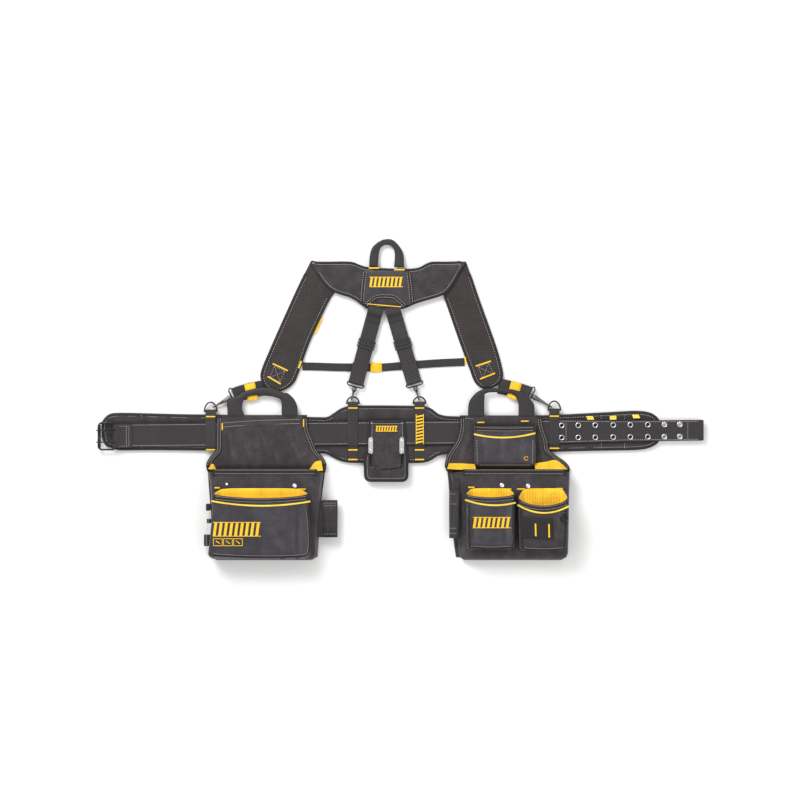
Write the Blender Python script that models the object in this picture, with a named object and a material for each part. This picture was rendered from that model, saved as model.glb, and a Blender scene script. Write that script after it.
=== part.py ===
"""Carpenter's tool belt with suspenders, laid out flat.

World frame: +X runs along the belt towards its tongue, +Y towards the yoke, and +Z up from the surface
that the belt lies on.  Every size and place in this file is in millimetres; meshes are made in metres.
"""
import math

import bmesh
import bpy
import numpy as np

MM = 0.001
GAP = 0.3                      # clearance between pieces that touch

# Padded belt and its load webbing
PAD_THICK = 10.0
BAND_LOW, BAND_TOP = 11.1, 13.6
BAND_HALF, TONGUE_HALF = 28.0, 25.0
BAND_START, BAND_END = -655.0, 728.2
BAND_Y_START, BAND_Y_END = -86.4, -73.6

# Buckle
BUCKLE_Y = -88.0
FRAME_X, ROLLER_X, FRAME_Z = -684.0, -721.0, 16.5
FRAME_HALF, FRAME_WIRE = 32.0, 2.2
PRONG_WIRE, PRONG_OFFSET = 1.7, 14.0
ROLLER_RADIUS, ROLLER_HALF = 4.0, 27.5
CHAPE_THICK = 1.6

# Rings, hooks and straps, which all lie level at the ring height
RING_Z = 9.5
RING_WIRE, RING_HALF = 1.8, 14.7
TAB_WIDTH, TAB_THICK = 25.0, 1.4
STRAP_WIDTH, STRAP_THICK = 37.0, 1.4
EYE_WIRE, EYE_DEPTH = 1.5, 8.0
HOOK_OUTER, HOOK_INNER, HOOK_THICK = 6.2, 3.4, 5.0
MAIN_Z, RETURN_Z = 8.6, 10.3

# Suspenders
SHOULDER_THICK = 8.0
YOKE_LOW, YOKE_TOP = 8.5, 16.0
PATCH_LOW, PATCH_TOP = 16.4, 18.4
BACK_STRAP_Y = 223.0           # where the back straps leave the yoke
CHEST_Y, CHEST_LOW, CHEST_TOP = 77.0, 1.5, 3.5

# Pouches
PANEL_THICK = 3.0
PANEL_HIGH, PANEL_FLOOR = 13.9, 0.4
FLAP_LOW, FLAP_TOP = 10.3, 10.8
WALL = 2.5
POUCH_TOP = -37.0
HANDLE_LOW, HANDLE_TOP = 14.0, 17.0
HANDLE_AXIS_Y = POUCH_TOP + 2.2

# Hammer holder
HOLDER_LOW, HOLDER_TOP = 13.9, 18.4
LOOP_AXIS = (-131.0, 23.8)
LOOP_ARM, LOOP_ANGLE, LOOP_WIRE = 52.0, math.radians(50.0), 2.5


def clear_scene():
    """Removes whatever the scene holds."""
    for old in list(bpy.data.objects):
        bpy.data.objects.remove(old, do_unlink=True)


def finish(name, colour, roughness, metallic=0.0):
    """Makes one material from a linear colour."""
    material = bpy.data.materials.new(name)
    material.use_nodes = True
    shader = material.node_tree.nodes["Principled BSDF"]
    shader.inputs["Base Color"].default_value = (*colour, 1.0)
    shader.inputs["Roughness"].default_value = roughness
    shader.inputs["Metallic"].default_value = metallic
    return material


def own(material, name):
    """Gives a piece its own copy of a finish."""
    copy = material.copy()
    copy.name = name
    return copy


def place(name, mesh, material, origin):
    """Puts a mesh into the scene as a named piece with its origin on a joint or at the world's."""
    mesh.materials.append(own(material, name))
    piece = bpy.data.objects.new(name, mesh)
    piece.location = [MM * value for value in origin]
    bpy.context.scene.collection.objects.link(piece)
    return piece


def solid(name, points, faces, material, origin=(0.0, 0.0, 0.0), smooth=False):
    """Makes a closed piece from world points and turns its faces outwards."""
    points = (np.asarray(points, dtype=float) - np.asarray(origin)) * MM
    mesh = bpy.data.meshes.new(name)
    mesh.from_pydata(points.tolist(), [], faces)
    shape = bmesh.new()
    shape.from_mesh(mesh)
    bmesh.ops.recalc_face_normals(shape, faces=shape.faces)
    shape.to_mesh(mesh)
    shape.free()
    if smooth:
        mesh.shade_smooth()
        mesh.set_sharp_from_angle(angle=math.radians(35.0))
    return place(name, mesh, material, origin)


def slab(name, outline, low, top, material, origin=(0.0, 0.0, 0.0)):
    """Extrudes a flat outline from one height to another."""
    shape = bmesh.new()
    corners = [shape.verts.new([MM * (x - origin[0]), MM * (y - origin[1]), MM * (low - origin[2])])
               for x, y in outline]
    base = shape.faces.new(corners)
    grown = bmesh.ops.extrude_face_region(shape, geom=[base])
    raised = [item for item in grown["geom"] if isinstance(item, bmesh.types.BMVert)]
    bmesh.ops.translate(shape, verts=raised, vec=(0.0, 0.0, MM * (top - low)))
    bmesh.ops.recalc_face_normals(shape, faces=shape.faces)
    mesh = bpy.data.meshes.new(name)
    shape.to_mesh(mesh)
    shape.free()
    return place(name, mesh, material, origin)


def tube_faces(rings, around, closed):
    """Faces that join rings of points, with end caps where the run of rings isn't closed."""
    faces = []
    for ring in range(rings if closed else rings - 1):
        here, there = ring * around, (ring + 1) % rings * around
        for step in range(around):
            after = (step + 1) % around
            faces.append((here + step, here + after, there + after, there + step))
    if not closed:
        faces.append(tuple(range(around)))
        faces.append(tuple(range((rings - 1) * around, rings * around)))
    return faces


def strip(name, left, right, lows, thickness, material):
    """Makes a flat panel between a left and a right edge, with a height at each row."""
    points = []
    for (x_left, y_left), (x_right, y_right), low in zip(left, right, lows):
        top = low + thickness
        points += [(x_left, y_left, low), (x_right, y_right, low), (x_right, y_right, top), (x_left, y_left, top)]
    return solid(name, points, tube_faces(len(lows), 4, False), material)


def ribbon(name, profile, thickness, width, plan, material):
    """Carries a flat strip along a profile of (distance, height), on a plan that maps a distance to the
    ground and to the direction across the strip."""
    profile = np.asarray(profile, dtype=float)
    along = np.gradient(profile, axis=0)
    along /= np.linalg.norm(along, axis=1)[:, None]
    points = []
    for (distance, height), (run, rise) in zip(profile, along):
        for side, face in ((-0.5, -0.5), (0.5, -0.5), (0.5, 0.5), (-0.5, 0.5)):
            x, y, across_x, across_y = plan(distance - rise * face * thickness)
            points.append((x + across_x * side * width, y + across_y * side * width,
                           height + run * face * thickness))
    return solid(name, points, tube_faces(len(profile), 4, False), material)


def wire(name, points, radius, material, origin=(0.0, 0.0, 0.0), closed=True, sides=1):
    """Makes a round wire along world points."""
    curve = bpy.data.curves.new(name, "CURVE")
    curve.dimensions = "3D"
    curve.bevel_depth = MM * radius
    curve.bevel_resolution = sides
    curve.use_fill_caps = True
    spline = curve.splines.new("POLY")
    spline.points.add(len(points) - 1)
    for spot, point in zip(spline.points, points):
        spot.co = (*[MM * (value - start) for value, start in zip(point, origin)], 1.0)
    spline.use_cyclic_u = closed
    curve.materials.append(own(material, name))
    piece = bpy.data.objects.new(name, curve)
    piece.location = [MM * value for value in origin]
    bpy.context.scene.collection.objects.link(piece)
    return piece


def pocket(name, stations, material, slopes=(0.0, 0.0)):
    """Makes an open pocket.  A station is (y at the back, y at the front, left, right, back, front); the
    first is the mouth and the last the bottom.  slopes is how far its left and right gussets lean in."""
    around = 8
    lean_left, lean_right = slopes

    def section(station, inset, y_shift):
        y_back, y_front, left, right, back, front = station
        left, right, back, front = left + inset, right - inset, back + inset, front - inset
        cut = min(7.0, 0.25 * (front - back))
        outline = [(left + cut, back), (right - cut, back), (right, back + cut),
                   (right - lean_right, front - cut), (right - lean_right - cut, front),
                   (left + lean_left + cut, front), (left + lean_left, front - cut), (left, back + cut)]
        slope = (y_front - y_back) / (front - back)
        return [(x, y_back + slope * (z - back) + y_shift, z) for x, z in outline]

    outer = [section(station, 0.0, 0.0) for station in reversed(stations)]
    inner = [section(station, WALL, 0.0) for station in stations[:-1]]
    inner.append(section(stations[-1], WALL, WALL))
    points = [point for ring in outer + inner for point in ring]
    return solid(name, points, tube_faces(len(outer) + len(inner), around, False), material)


def blocks(name, xs, ys, zs, filled, material, origin=(0.0, 0.0, 0.0), turn=0.0):
    """Makes a body of joined boxes on a grid; filled(i, j, k) says which boxes are solid."""
    shape = bmesh.new()
    corners = {}

    def corner(i, j, k):
        if (i, j, k) not in corners:
            corners[(i, j, k)] = shape.verts.new((MM * xs[i], MM * ys[j], MM * zs[k]))
        return corners[(i, j, k)]

    counts = (len(xs) - 1, len(ys) - 1, len(zs) - 1)

    def is_solid(cell):
        inside = all(0 <= index < count for index, count in zip(cell, counts))
        return inside and filled(*cell)

    for cell in np.ndindex(*counts):
        if not is_solid(cell):
            continue
        for axis in range(3):
            for side in (0, 1):
                beside = list(cell)
                beside[axis] += 2 * side - 1
                if is_solid(beside):
                    continue
                first, second = [other for other in range(3) if other != axis]
                quad = []
                for step_first, step_second in ((0, 0), (1, 0), (1, 1), (0, 1)):
                    spot = list(cell)
                    spot[axis] += side
                    spot[first] += step_first
                    spot[second] += step_second
                    quad.append(corner(*spot))
                shape.faces.new(quad)
    bmesh.ops.recalc_face_normals(shape, faces=shape.faces)
    mesh = bpy.data.meshes.new(name)
    shape.to_mesh(mesh)
    shape.free()
    piece = place(name, mesh, material, origin)
    piece.rotation_euler[2] = turn
    return piece


def guide(piece):
    """Turns a piece into a hidden guide for a Boolean."""
    piece.hide_render = True
    piece.display_type = "WIRE"
    return piece


def combine(piece, other, operation):
    """Adds a guide's volume to a piece, or cuts it out."""
    step = piece.modifiers.new(operation.lower(), "BOOLEAN")
    step.operation = operation
    step.solver = "EXACT"
    step.object = guide(other)


def smooth_outline(points, steps=3):
    """A closed curve through the given points, with steps pieces between neighbours."""
    points = np.asarray(points, dtype=float)
    before, after, beyond = np.roll(points, 1, axis=0), np.roll(points, -1, axis=0), np.roll(points, -2, axis=0)
    rows = []
    for t in np.arange(steps) / steps:
        rows.append(0.5 * (2 * points + (after - before) * t
                           + (2 * before - 5 * points + 4 * after - beyond) * t ** 2
                           + (3 * points - before - 3 * after + beyond) * t ** 3))
    return np.stack(rows, axis=1).reshape(-1, points.shape[1])


def arc(centre, radius, start, end, steps):
    """Points on a circle between two angles in degrees."""
    angles = np.radians(np.linspace(start, end, steps + 1))
    return [(centre[0] + radius * math.cos(angle), centre[1] + radius * math.sin(angle)) for angle in angles]


def band_y(x):
    """Middle of the load webbing, which lies a little askew on the pad."""
    return np.interp(x, (BAND_START, BAND_END), (BAND_Y_START, BAND_Y_END))


CLOTH = finish("ballistic_polyester", (0.040, 0.036, 0.038), 0.9)
COATED = finish("coated_polyester", (0.045, 0.047, 0.052), 0.55)
WEBBING = finish("webbing", (0.028, 0.026, 0.027), 0.85)
LINING = finish("yellow_elastic", (0.85, 0.50, 0.03), 0.8)
BLACK_METAL = finish("black_metal", (0.03, 0.03, 0.032), 0.35, 1.0)
NICKEL = finish("nickel", (0.75, 0.75, 0.74), 0.25, 1.0)
PLASTIC = finish("moulded_plastic", (0.02, 0.02, 0.021), 0.5)


def make_belt():
    """Padded belt with its wider back, and the webbing band that carries the load."""
    outline = [(-690, -34), (-640, -33), (-520, -36), (-350, -38), (-185, -43), (-165, -37), (-143, -23),
               (-120, -16), (-30, -15), (58, -17), (74, -22), (88, -33), (110, -40), (200, -42), (360, -38),
               (500, -32), (596, -30), (612, -34), (624, -49), (625, -75), (624, -99), (612, -114),
               (596, -118), (400, -124), (200, -130), (118, -130), (103, -132), (88, -136), (72, -145),
               (58, -151), (-30, -152), (-120, -151), (-140, -147), (-157, -141), (-173, -131), (-190, -129),
               (-350, -124), (-560, -121), (-672, -121), (-690, -117), (-712, -101), (-718, -78), (-714, -56)]
    slab("belt_pad", outline, 0.0, PAD_THICK, CLOTH)
    stations = [BAND_START, -200.0, 400.0, 540.0, BAND_END]
    halves = [BAND_HALF, BAND_HALF, BAND_HALF, TONGUE_HALF, TONGUE_HALF]
    upper = [(x, band_y(x) + half) for x, half in zip(stations, halves)]
    lower = [(x, band_y(x) - half) for x, half in zip(stations, halves)]
    strip("belt_band", lower, upper, [BAND_LOW] * len(stations), BAND_TOP - BAND_LOW, WEBBING)


def make_buckle():
    """Two-prong roller buckle, held by a webbing chape that is slotted for the prongs."""
    turn = FRAME_WIRE + 0.4 + CHAPE_THICK / 2
    low = BAND_LOW + 0.9
    profile = [(-656, low), (-668, low), (-678, FRAME_Z - turn)]
    profile += arc((FRAME_X, FRAME_Z), turn, -90, -270, 8)
    profile += [(-678, FRAME_Z + turn), (-666, 15.4), (-656, 14.2)]
    chape = ribbon("buckle_chape", profile, CHAPE_THICK, 56.0,
                   lambda x: (x, BUCKLE_Y, 0.0, 1.0), WEBBING)
    for side in (-1, 1):
        y = BUCKLE_Y + side * PRONG_OFFSET
        slot = blocks("prong_slot_guide", [-695.0, -675.0], [y - 3.2, y + 3.2], [5.0, 26.0],
                      lambda i, j, k: True, WEBBING)
        combine(chape, slot, "DIFFERENCE")
    pivot = (FRAME_X, BUCKLE_Y, FRAME_Z)
    corner = 5.0
    top, bottom = BUCKLE_Y + FRAME_HALF, BUCKLE_Y - FRAME_HALF
    loop = arc((FRAME_X - corner, top - corner), corner, 0, 90, 3)
    loop += arc((ROLLER_X + corner, top - corner), corner, 90, 180, 3)
    loop += arc((ROLLER_X + corner, bottom + corner), corner, 180, 270, 3)
    loop += arc((FRAME_X - corner, bottom + corner), corner, 270, 360, 3)
    wire("buckle_frame", [(x, y, FRAME_Z) for x, y in loop], FRAME_WIRE, BLACK_METAL, pivot)
    make_roller()
    reach = FRAME_WIRE + GAP + PRONG_WIRE
    rest_z = FRAME_Z + ROLLER_RADIUS + PRONG_WIRE + GAP
    for number, side in enumerate((1, -1), start=1):
        y = BUCKLE_Y + side * PRONG_OFFSET
        bend = arc((FRAME_X, FRAME_Z), reach, -150, 110, 9)
        path = [(x, y, z) for x, z in bend] + [(ROLLER_X, y, rest_z), (ROLLER_X - 7.0, y, rest_z - 0.8)]
        wire(f"buckle_prong_{number}", path, PRONG_WIRE, BLACK_METAL, (FRAME_X, y, FRAME_Z), closed=False)


def make_roller():
    """Tube that turns on the frame's outer bar."""
    inner = FRAME_WIRE + GAP
    points, sides = [], 12
    for radius, y in ((inner, -ROLLER_HALF), (ROLLER_RADIUS, -ROLLER_HALF), (ROLLER_RADIUS, ROLLER_HALF),
                      (inner, ROLLER_HALF)):
        points += [(x, BUCKLE_Y + y, z) for x, z in arc((ROLLER_X, FRAME_Z), radius, 0, 360, sides)[:-1]]
    solid("buckle_roller", points, tube_faces(4, sides, True), BLACK_METAL,
          (ROLLER_X, BUCKLE_Y, FRAME_Z), smooth=True)


# name, middle of the ring, height of its bar along Y, rise of its arc, pad edge, lower end of the tab
RINGS = (("front_left", -454.0, -27.6, 21.0, -120.0),
         ("back_left", -112.8, -8.6, 15.0, -149.0),
         ("back_right", 46.8, -8.6, 15.0, -149.0),
         ("front_right", 370.0, -25.0, 21.0, -117.0))


def make_rings():
    """Webbing tabs sewn over the band, each with a D-ring in its fold."""
    turn = RING_WIRE + 0.4 + TAB_THICK / 2
    on_pad, on_band = PAD_THICK + GAP + TAB_THICK / 2, BAND_TOP + GAP + TAB_THICK / 2
    for name, x, bar, rise, low_end in RINGS:
        middle = band_y(x)
        above, below = middle + BAND_HALF, middle - BAND_HALF
        profile = [(low_end, on_pad), (max(below - 4.0, low_end + 2.0), on_pad), (below, on_band),
                   (above, on_band), (above + 5.0, on_pad), (bar - 8.0, on_pad + 0.6)]
        profile += arc((bar, RING_Z), turn, 100, -90, 8)
        profile += [(bar - 3.5, RING_Z - turn)]
        ribbon(f"ring_tab_{name}", profile, TAB_THICK, TAB_WIDTH,
               lambda distance, x=x: (x, distance, 1.0, 0.0), WEBBING)
        bow = [(x + RING_HALF * math.cos(angle), bar + rise * math.sin(angle), RING_Z)
               for angle in np.radians(np.linspace(0, 180, 11))]
        wire(f"d_ring_{name}", bow, RING_WIRE, BLACK_METAL, (x, bar, RING_Z))


def link(name, strap_start, strap_end, ring_point, mid=None, start_profile=None, tail=60.0):
    """Strap, wire eye, snap hook and gate between a suspender end and a D-ring.

    strap_start and strap_end are the strap's ends on the ground plan; strap_end is the middle of the eye's
    strap bar.  mid bends the strap's run.  The hook's mouth is centred on ring_point.
    """
    start, end, ring = (np.asarray(spot, dtype=float) for spot in (strap_start, strap_end, ring_point))
    aim = (ring - end) / np.linalg.norm(ring - end)
    mid = (start + end) / 2 if mid is None else np.asarray(mid, dtype=float)
    parameter = np.linspace(0.0, 1.0, 41)[:, None]
    run = (1 - parameter) ** 2 * start + 2 * parameter * (1 - parameter) * mid + parameter ** 2 * end
    lengths = np.concatenate([[0.0], np.cumsum(np.linalg.norm(np.diff(run, axis=0), axis=1))])
    total = lengths[-1]

    def plan(distance):
        if distance >= total:
            x, y = end + aim * (distance - total)
            return x, y, -aim[1], aim[0]
        x, y = np.interp(distance, lengths, run[:, 0]), np.interp(distance, lengths, run[:, 1])
        step = min(distance + 1.0, total)
        ahead = np.array([np.interp(step, lengths, run[:, 0]), np.interp(step, lengths, run[:, 1])])
        behind = np.array([np.interp(step - 2.0, lengths, run[:, 0]), np.interp(step - 2.0, lengths, run[:, 1])])
        way = (ahead - behind) / np.linalg.norm(ahead - behind)
        return x, y, -way[1], way[0]

    turn = EYE_WIRE + 0.35 + STRAP_THICK / 2
    profile = list(start_profile)
    profile += [(total - 30.0, MAIN_Z), (total - 12.0, MAIN_Z), (total - 3.0, RING_Z - turn)]
    profile += arc((total, RING_Z), turn, -90, 90, 6)
    profile += [(total - 3.0, RING_Z + turn), (total - 12.0, RETURN_Z), (total - 30.0, RETURN_Z)]
    profile += [(total - tail, RETURN_Z)]
    ribbon(name.replace("#", "strap"), profile, STRAP_THICK, STRAP_WIDTH, plan, WEBBING)

    across = np.array([-aim[1], aim[0]])
    half = STRAP_WIDTH / 2 + EYE_WIRE + 0.4

    def ground(distance, sideways, height=RING_Z):
        x, y = end + aim * distance + across * sideways
        return x, y, height

    corners = [(0.0, -half), (0.0, half), (4.0, half), (EYE_DEPTH, half - 5.0), (EYE_DEPTH, 5.0 - half),
               (4.0, -half)]
    wire(name.replace("#", "eye"), [ground(*corner) for corner in corners], EYE_WIRE, BLACK_METAL,
         (*end, RING_Z))
    make_hook(name, ground, np.linalg.norm(ring - end))


def make_hook(name, ground, reach):
    """Snap hook that swivels on the eye, with a sprung gate over its mouth."""
    first = EYE_DEPTH + EYE_WIRE + 0.35
    back, front = reach, reach + 1.5
    outline = [(first, -3.0), (back - 9.0, -3.0), (back - 5.0, -HOOK_OUTER)]
    outline += arc((front, 0.0), HOOK_OUTER, -90, 90, 6)
    outline += arc((front, 0.0), HOOK_INNER, 90, -90, 6)
    outline += [(back - 1.0, -HOOK_INNER), (back - 3.5, -1.5), (back - 5.0, 3.0), (first, 3.0)]

    def extrude(piece, shape, thickness, origin):
        points = [ground(distance, side * thickness / 2, RING_Z + height)
                  for side in (-1, 1) for distance, height in shape]
        count = len(shape)
        faces = [tuple(range(count)), tuple(range(count, 2 * count))]
        faces += [(i, (i + 1) % count, count + (i + 1) % count, count + i) for i in range(count)]
        solid(piece, points, faces, BLACK_METAL, origin)

    extrude(name.replace("#", "hook"), outline, HOOK_THICK, ground(first, 0.0))
    hinge = (back - 5.6, 4.8)
    gate = [(hinge[0] - 1.4, 3.4), (front - 0.4, 3.4), (front - 0.4, 5.8), (hinge[0] - 1.4, 6.2)]
    extrude(name.replace("#", "gate"), gate, HOOK_THICK - 1.0, ground(hinge[0], 0.0, RING_Z + hinge[1]))


def make_back_straps():
    """Two straps that run from the yoke to the back rings, each with a sliding adjuster."""
    for name, top, low, reach in (("left", (-57.6, 217.2), (-105.8, 38.8), 33.8),
                                  ("right", (-18.0, 217.2), (33.8, 40.0), 35.4)):
        top, low = np.array(top), np.array(low)
        aim = (low - top) / np.linalg.norm(low - top)
        ring = low + aim * reach
        start = top - aim * (BACK_STRAP_Y - top[1]) / -aim[1]
        total = np.linalg.norm(low - start)
        lift = YOKE_TOP + GAP + STRAP_THICK / 2
        profile = [(0.0, lift), (17.0, lift), (42.0, MAIN_Z)]
        link(f"back_#_{name}", start, low, ring, start_profile=profile, tail=total - 41.0)
        centre = start + aim * 94.0
        turn = math.atan2(aim[1], aim[0]) + math.pi / 2
        half, wall = STRAP_WIDTH / 2 + 0.6, 2.0
        blocks(f"strap_slider_{name}", [-half - wall, -half, half, half + wall],
               [-10.8, -6.8, -2.0, 2.0, 6.8, 10.8], [-3.7, -2.1, 2.0, 3.6],
               lambda i, j, k: i != 1 or (k != 1 and j != 1 and j != 3),
               PLASTIC, (*centre, RING_Z), turn)


def make_front_straps():
    """Two short straps from the shoulder pads to the front rings."""
    rise = [(0.0, 4.5), (14.0, 7.0), (26.0, MAIN_Z)]
    link("front_#_left", (-335.5, 27.0), (-396.0, 10.0), ring_point("front_left", 37.0),
         mid=(-368.0, 21.0), start_profile=rise, tail=52.0)
    link("front_#_right", (243.5, 31.0), (309.0, 13.0), ring_point("front_right", 150.0),
         mid=(274.0, 26.0), start_profile=rise, tail=52.0)


def ring_point(name, degrees):
    """A point on a D-ring's bow."""
    for ring, x, bar, rise, low_end in RINGS:
        if ring == name:
            angle = math.radians(degrees)
            return x + RING_HALF * math.cos(angle), bar + rise * math.sin(angle)
    raise KeyError(name)


def make_yoke():
    """Shoulder pads, the yoke pad that joins them, its sewn patch and the hang loop."""
    left = [(-214, 332), (-264, 227), (-312, 119), (-333, 66), (-322, 34), (-298, 20.5), (-268, 31),
            (-244, 63), (-216, 140), (-176, 226), (-152, 262)]
    right = [(158, 332), (192, 234), (230, 128), (246, 68), (232, 38), (207, 25), (184, 40),
             (168, 72), (144, 136), (104, 250), (96, 262)]
    slab("shoulder_pad_left", smooth_outline(left), 0.0, SHOULDER_THICK, CLOTH)
    slab("shoulder_pad_right", smooth_outline(right), 0.0, SHOULDER_THICK, CLOTH)
    yoke = [(-214, 332), (-180, 329), (-120, 329), (-98, 322), (-76, 316), (-30, 313), (20, 312), (48, 316),
            (72, 329), (110, 329), (158, 332), (144, 306), (130, 280), (115, 260), (96, 248), (43, 232),
            (19, 222), (2, 217), (-74, 217), (-86, 222), (-101, 234), (-120, 245), (-149, 254),
            (-168, 263), (-185, 280), (-197, 299)]
    slab("yoke_pad", yoke, YOKE_LOW, YOKE_TOP, CLOTH)
    patch = [(-86, 311), (22, 308), (29, 228), (3, 226), (-12, 244), (-58, 245), (-78, 228), (-93, 230)]
    slab("yoke_patch", patch, PATCH_LOW, PATCH_TOP, COATED)
    legs = [(-74, 317.6), (-72, 347), (-67, 364), (-48, 380), (-34, 384.4), (-24, 384.4), (-14, 380),
            (0, 365), (8.4, 354), (9.6, 317.6), (-14.4, 317.6), (-12, 347), (-14, 364), (-31, 371),
            (-47, 369), (-50, 359), (-52.8, 317.6)]
    slab("hang_loop", legs, 9.5, 12.5, WEBBING)


def make_chest_strap():
    """Chest strap in two lengths, its keeper and a side release buckle."""
    def run(name, edge):
        stations = [(x, y - 9.5) for x, y in edge]
        strip(name, stations, [(x, y + 9.5) for x, y in edge], [CHEST_LOW] * len(edge),
              CHEST_TOP - CHEST_LOW, WEBBING)

    run("chest_strap_left", [(-234.0, CHEST_Y + 1.0), (-113.6, CHEST_Y)])
    run("chest_strap_right", [(-89.4, CHEST_Y), (-43.0, CHEST_Y), (155.0, 90.0)])
    blocks("chest_keeper", [-70.8, -43.2], [-11.8, -10.2, 10.2, 11.8], [0.6, 1.2, 3.8, 4.6],
           lambda i, j, k: (j, k) != (1, 1), LINING, (0.0, CHEST_Y, 0.0))
    blocks("chest_buckle_socket", [-113.2, -110.6, -98.0], [-12.5, -10.0, 10.0, 12.5], [0.4, 1.8, 6.2, 7.5],
           lambda i, j, k: i == 0 or (j, k) != (1, 1), PLASTIC, (0.0, CHEST_Y, 0.0))
    blocks("chest_buckle_tongue", [-109.6, -97.6, -89.8], [-9.5, -5.5, 5.5, 9.5], [2.3, 5.7],
           lambda i, j, k: i == 1 or j != 1, PLASTIC, (0.0, CHEST_Y, 0.0))


def make_pouch(side, rows, left, right, pocket_rows, tunnel, slopes):
    """Back panel with a tunnel for the band, and the main pocket in front of it."""
    lows = [PANEL_HIGH if y > -160.0 else PANEL_FLOOR for y in rows]
    panel = strip(f"{side}_back_panel", list(zip(left, rows)), list(zip(right, rows)), lows,
                  PANEL_THICK, CLOTH)
    middle = band_y(sum(tunnel) / 2)
    ys = [middle - 34.0, middle - 31.0, middle + 31.0, middle + 34.0]
    flap = blocks(f"{side}_tunnel_guide", list(tunnel), ys, [FLAP_LOW, FLAP_TOP, PANEL_HIGH + 1.0],
                  lambda i, j, k: k == 0 or j != 1, CLOTH)
    combine(panel, flap, "UNION")
    pocket(f"{side}_main_pocket", pocket_rows, CLOTH, slopes)


def main_rows(edges):
    """Stations of a main pocket from its left and right edges, mouth first."""
    heights = (50.0, 52.0, 50.0, 43.0, 35.0)
    backs, fronts = (-178.0, -200.0, -290.0, -370.0, -384.4), (-172.0, -200.0, -290.0, -370.0, -384.4)
    low = PANEL_FLOOR + PANEL_THICK + GAP
    return [(back, front, left, right, low, height)
            for back, front, height, (left, right) in zip(backs, fronts, heights, edges)]


def on_front(rows, y):
    """Height just clear of a main pocket's front at a place along Y."""
    places, heights = [row[1] for row in rows][::-1], [row[5] for row in rows][::-1]
    return float(np.interp(y, places, heights)) + 0.6


def front_pocket(name, main, mouth, bottom, lefts, rights, depth):
    """A smaller pocket that stands on a main pocket's front; mouth is its place along Y at the back and
    at the front, and lefts and rights its edges from the mouth to the bottom."""
    places = (mouth, (-290.0, -290.0), (bottom + 11.0, bottom + 11.0), (bottom, bottom))
    rows = []
    for (back, front), left, right, share in zip(places, lefts, rights, (1.0, 1.05, 0.85, 0.62)):
        low = on_front(main, back)
        rows.append((back, front, left, right, low, low + depth * share))
    pocket(name, rows, COATED)


def sleeve(name, centre, half_width, half_depth, y_range, tilt, material):
    """A flat tube that is open along Y, turned about its own length."""
    cos, sin = math.cos(tilt), math.sin(tilt)

    def ring(y, inset):
        wide, deep = half_width - inset, half_depth - inset
        corners = [(-wide, -deep), (wide, -deep), (wide, deep), (-wide, deep)]
        return [(centre[0] + u * cos - v * sin, y, centre[1] + u * sin + v * cos) for u, v in corners]

    near, far = y_range
    points = ring(near, 0.0) + ring(far, 0.0) + ring(far, 2.0) + ring(near, 2.0)
    solid(name, points, tube_faces(4, 4, True), material)


def handle(name, outline):
    """Webbing carrying handle, hinged at the pouch's top edge."""
    middle = sum(x for x, y in outline) / len(outline)
    slab(name, outline, HANDLE_LOW, HANDLE_TOP, WEBBING,
         (middle, HANDLE_AXIS_Y, (HANDLE_LOW + HANDLE_TOP) / 2))


def make_left_pouch():
    """Large pouch with one wide front pocket."""
    rows = [POUCH_TOP, -73, -121, -133, -145, -158, -176, -280, -380]
    left = [-438, -439, -440, -449, -459, -464, -461, -453, -450]
    right = [-224, -220, -201, -192, -182, -177, -180, -193, -198]
    main = main_rows([(-462, -180), (-456, -184), (-452, -192), (-455, -195), (-449, -200)])
    make_pouch("left", rows, left, right, main, (-425.0, -240.0), (5.0, 10.0))
    front_pocket("left_front_pocket", main, (-212.0, -240.0), -381.0, (-450, -455, -464, -459),
                 (-214, -210, -207, -214), 28.0)
    sleeve("left_side_sleeve", (-167.8, 22.0), 18.7, 8.0, (-330.0, -241.0), 0.0, WEBBING)
    base = HANDLE_AXIS_Y
    handle("left_handle", [(-413, base), (-415, -8), (-406, 4), (-389, 9), (-372, 20), (-331, 29),
                           (-300, 25), (-281, 17), (-269, 15), (-254, 1), (-246, -18), (-246, base),
                           (-283, base), (-284, -1), (-312, 8), (-331, 9.5), (-360, 10), (-377, -6),
                           (-378, -20), (-372, base)])


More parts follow.
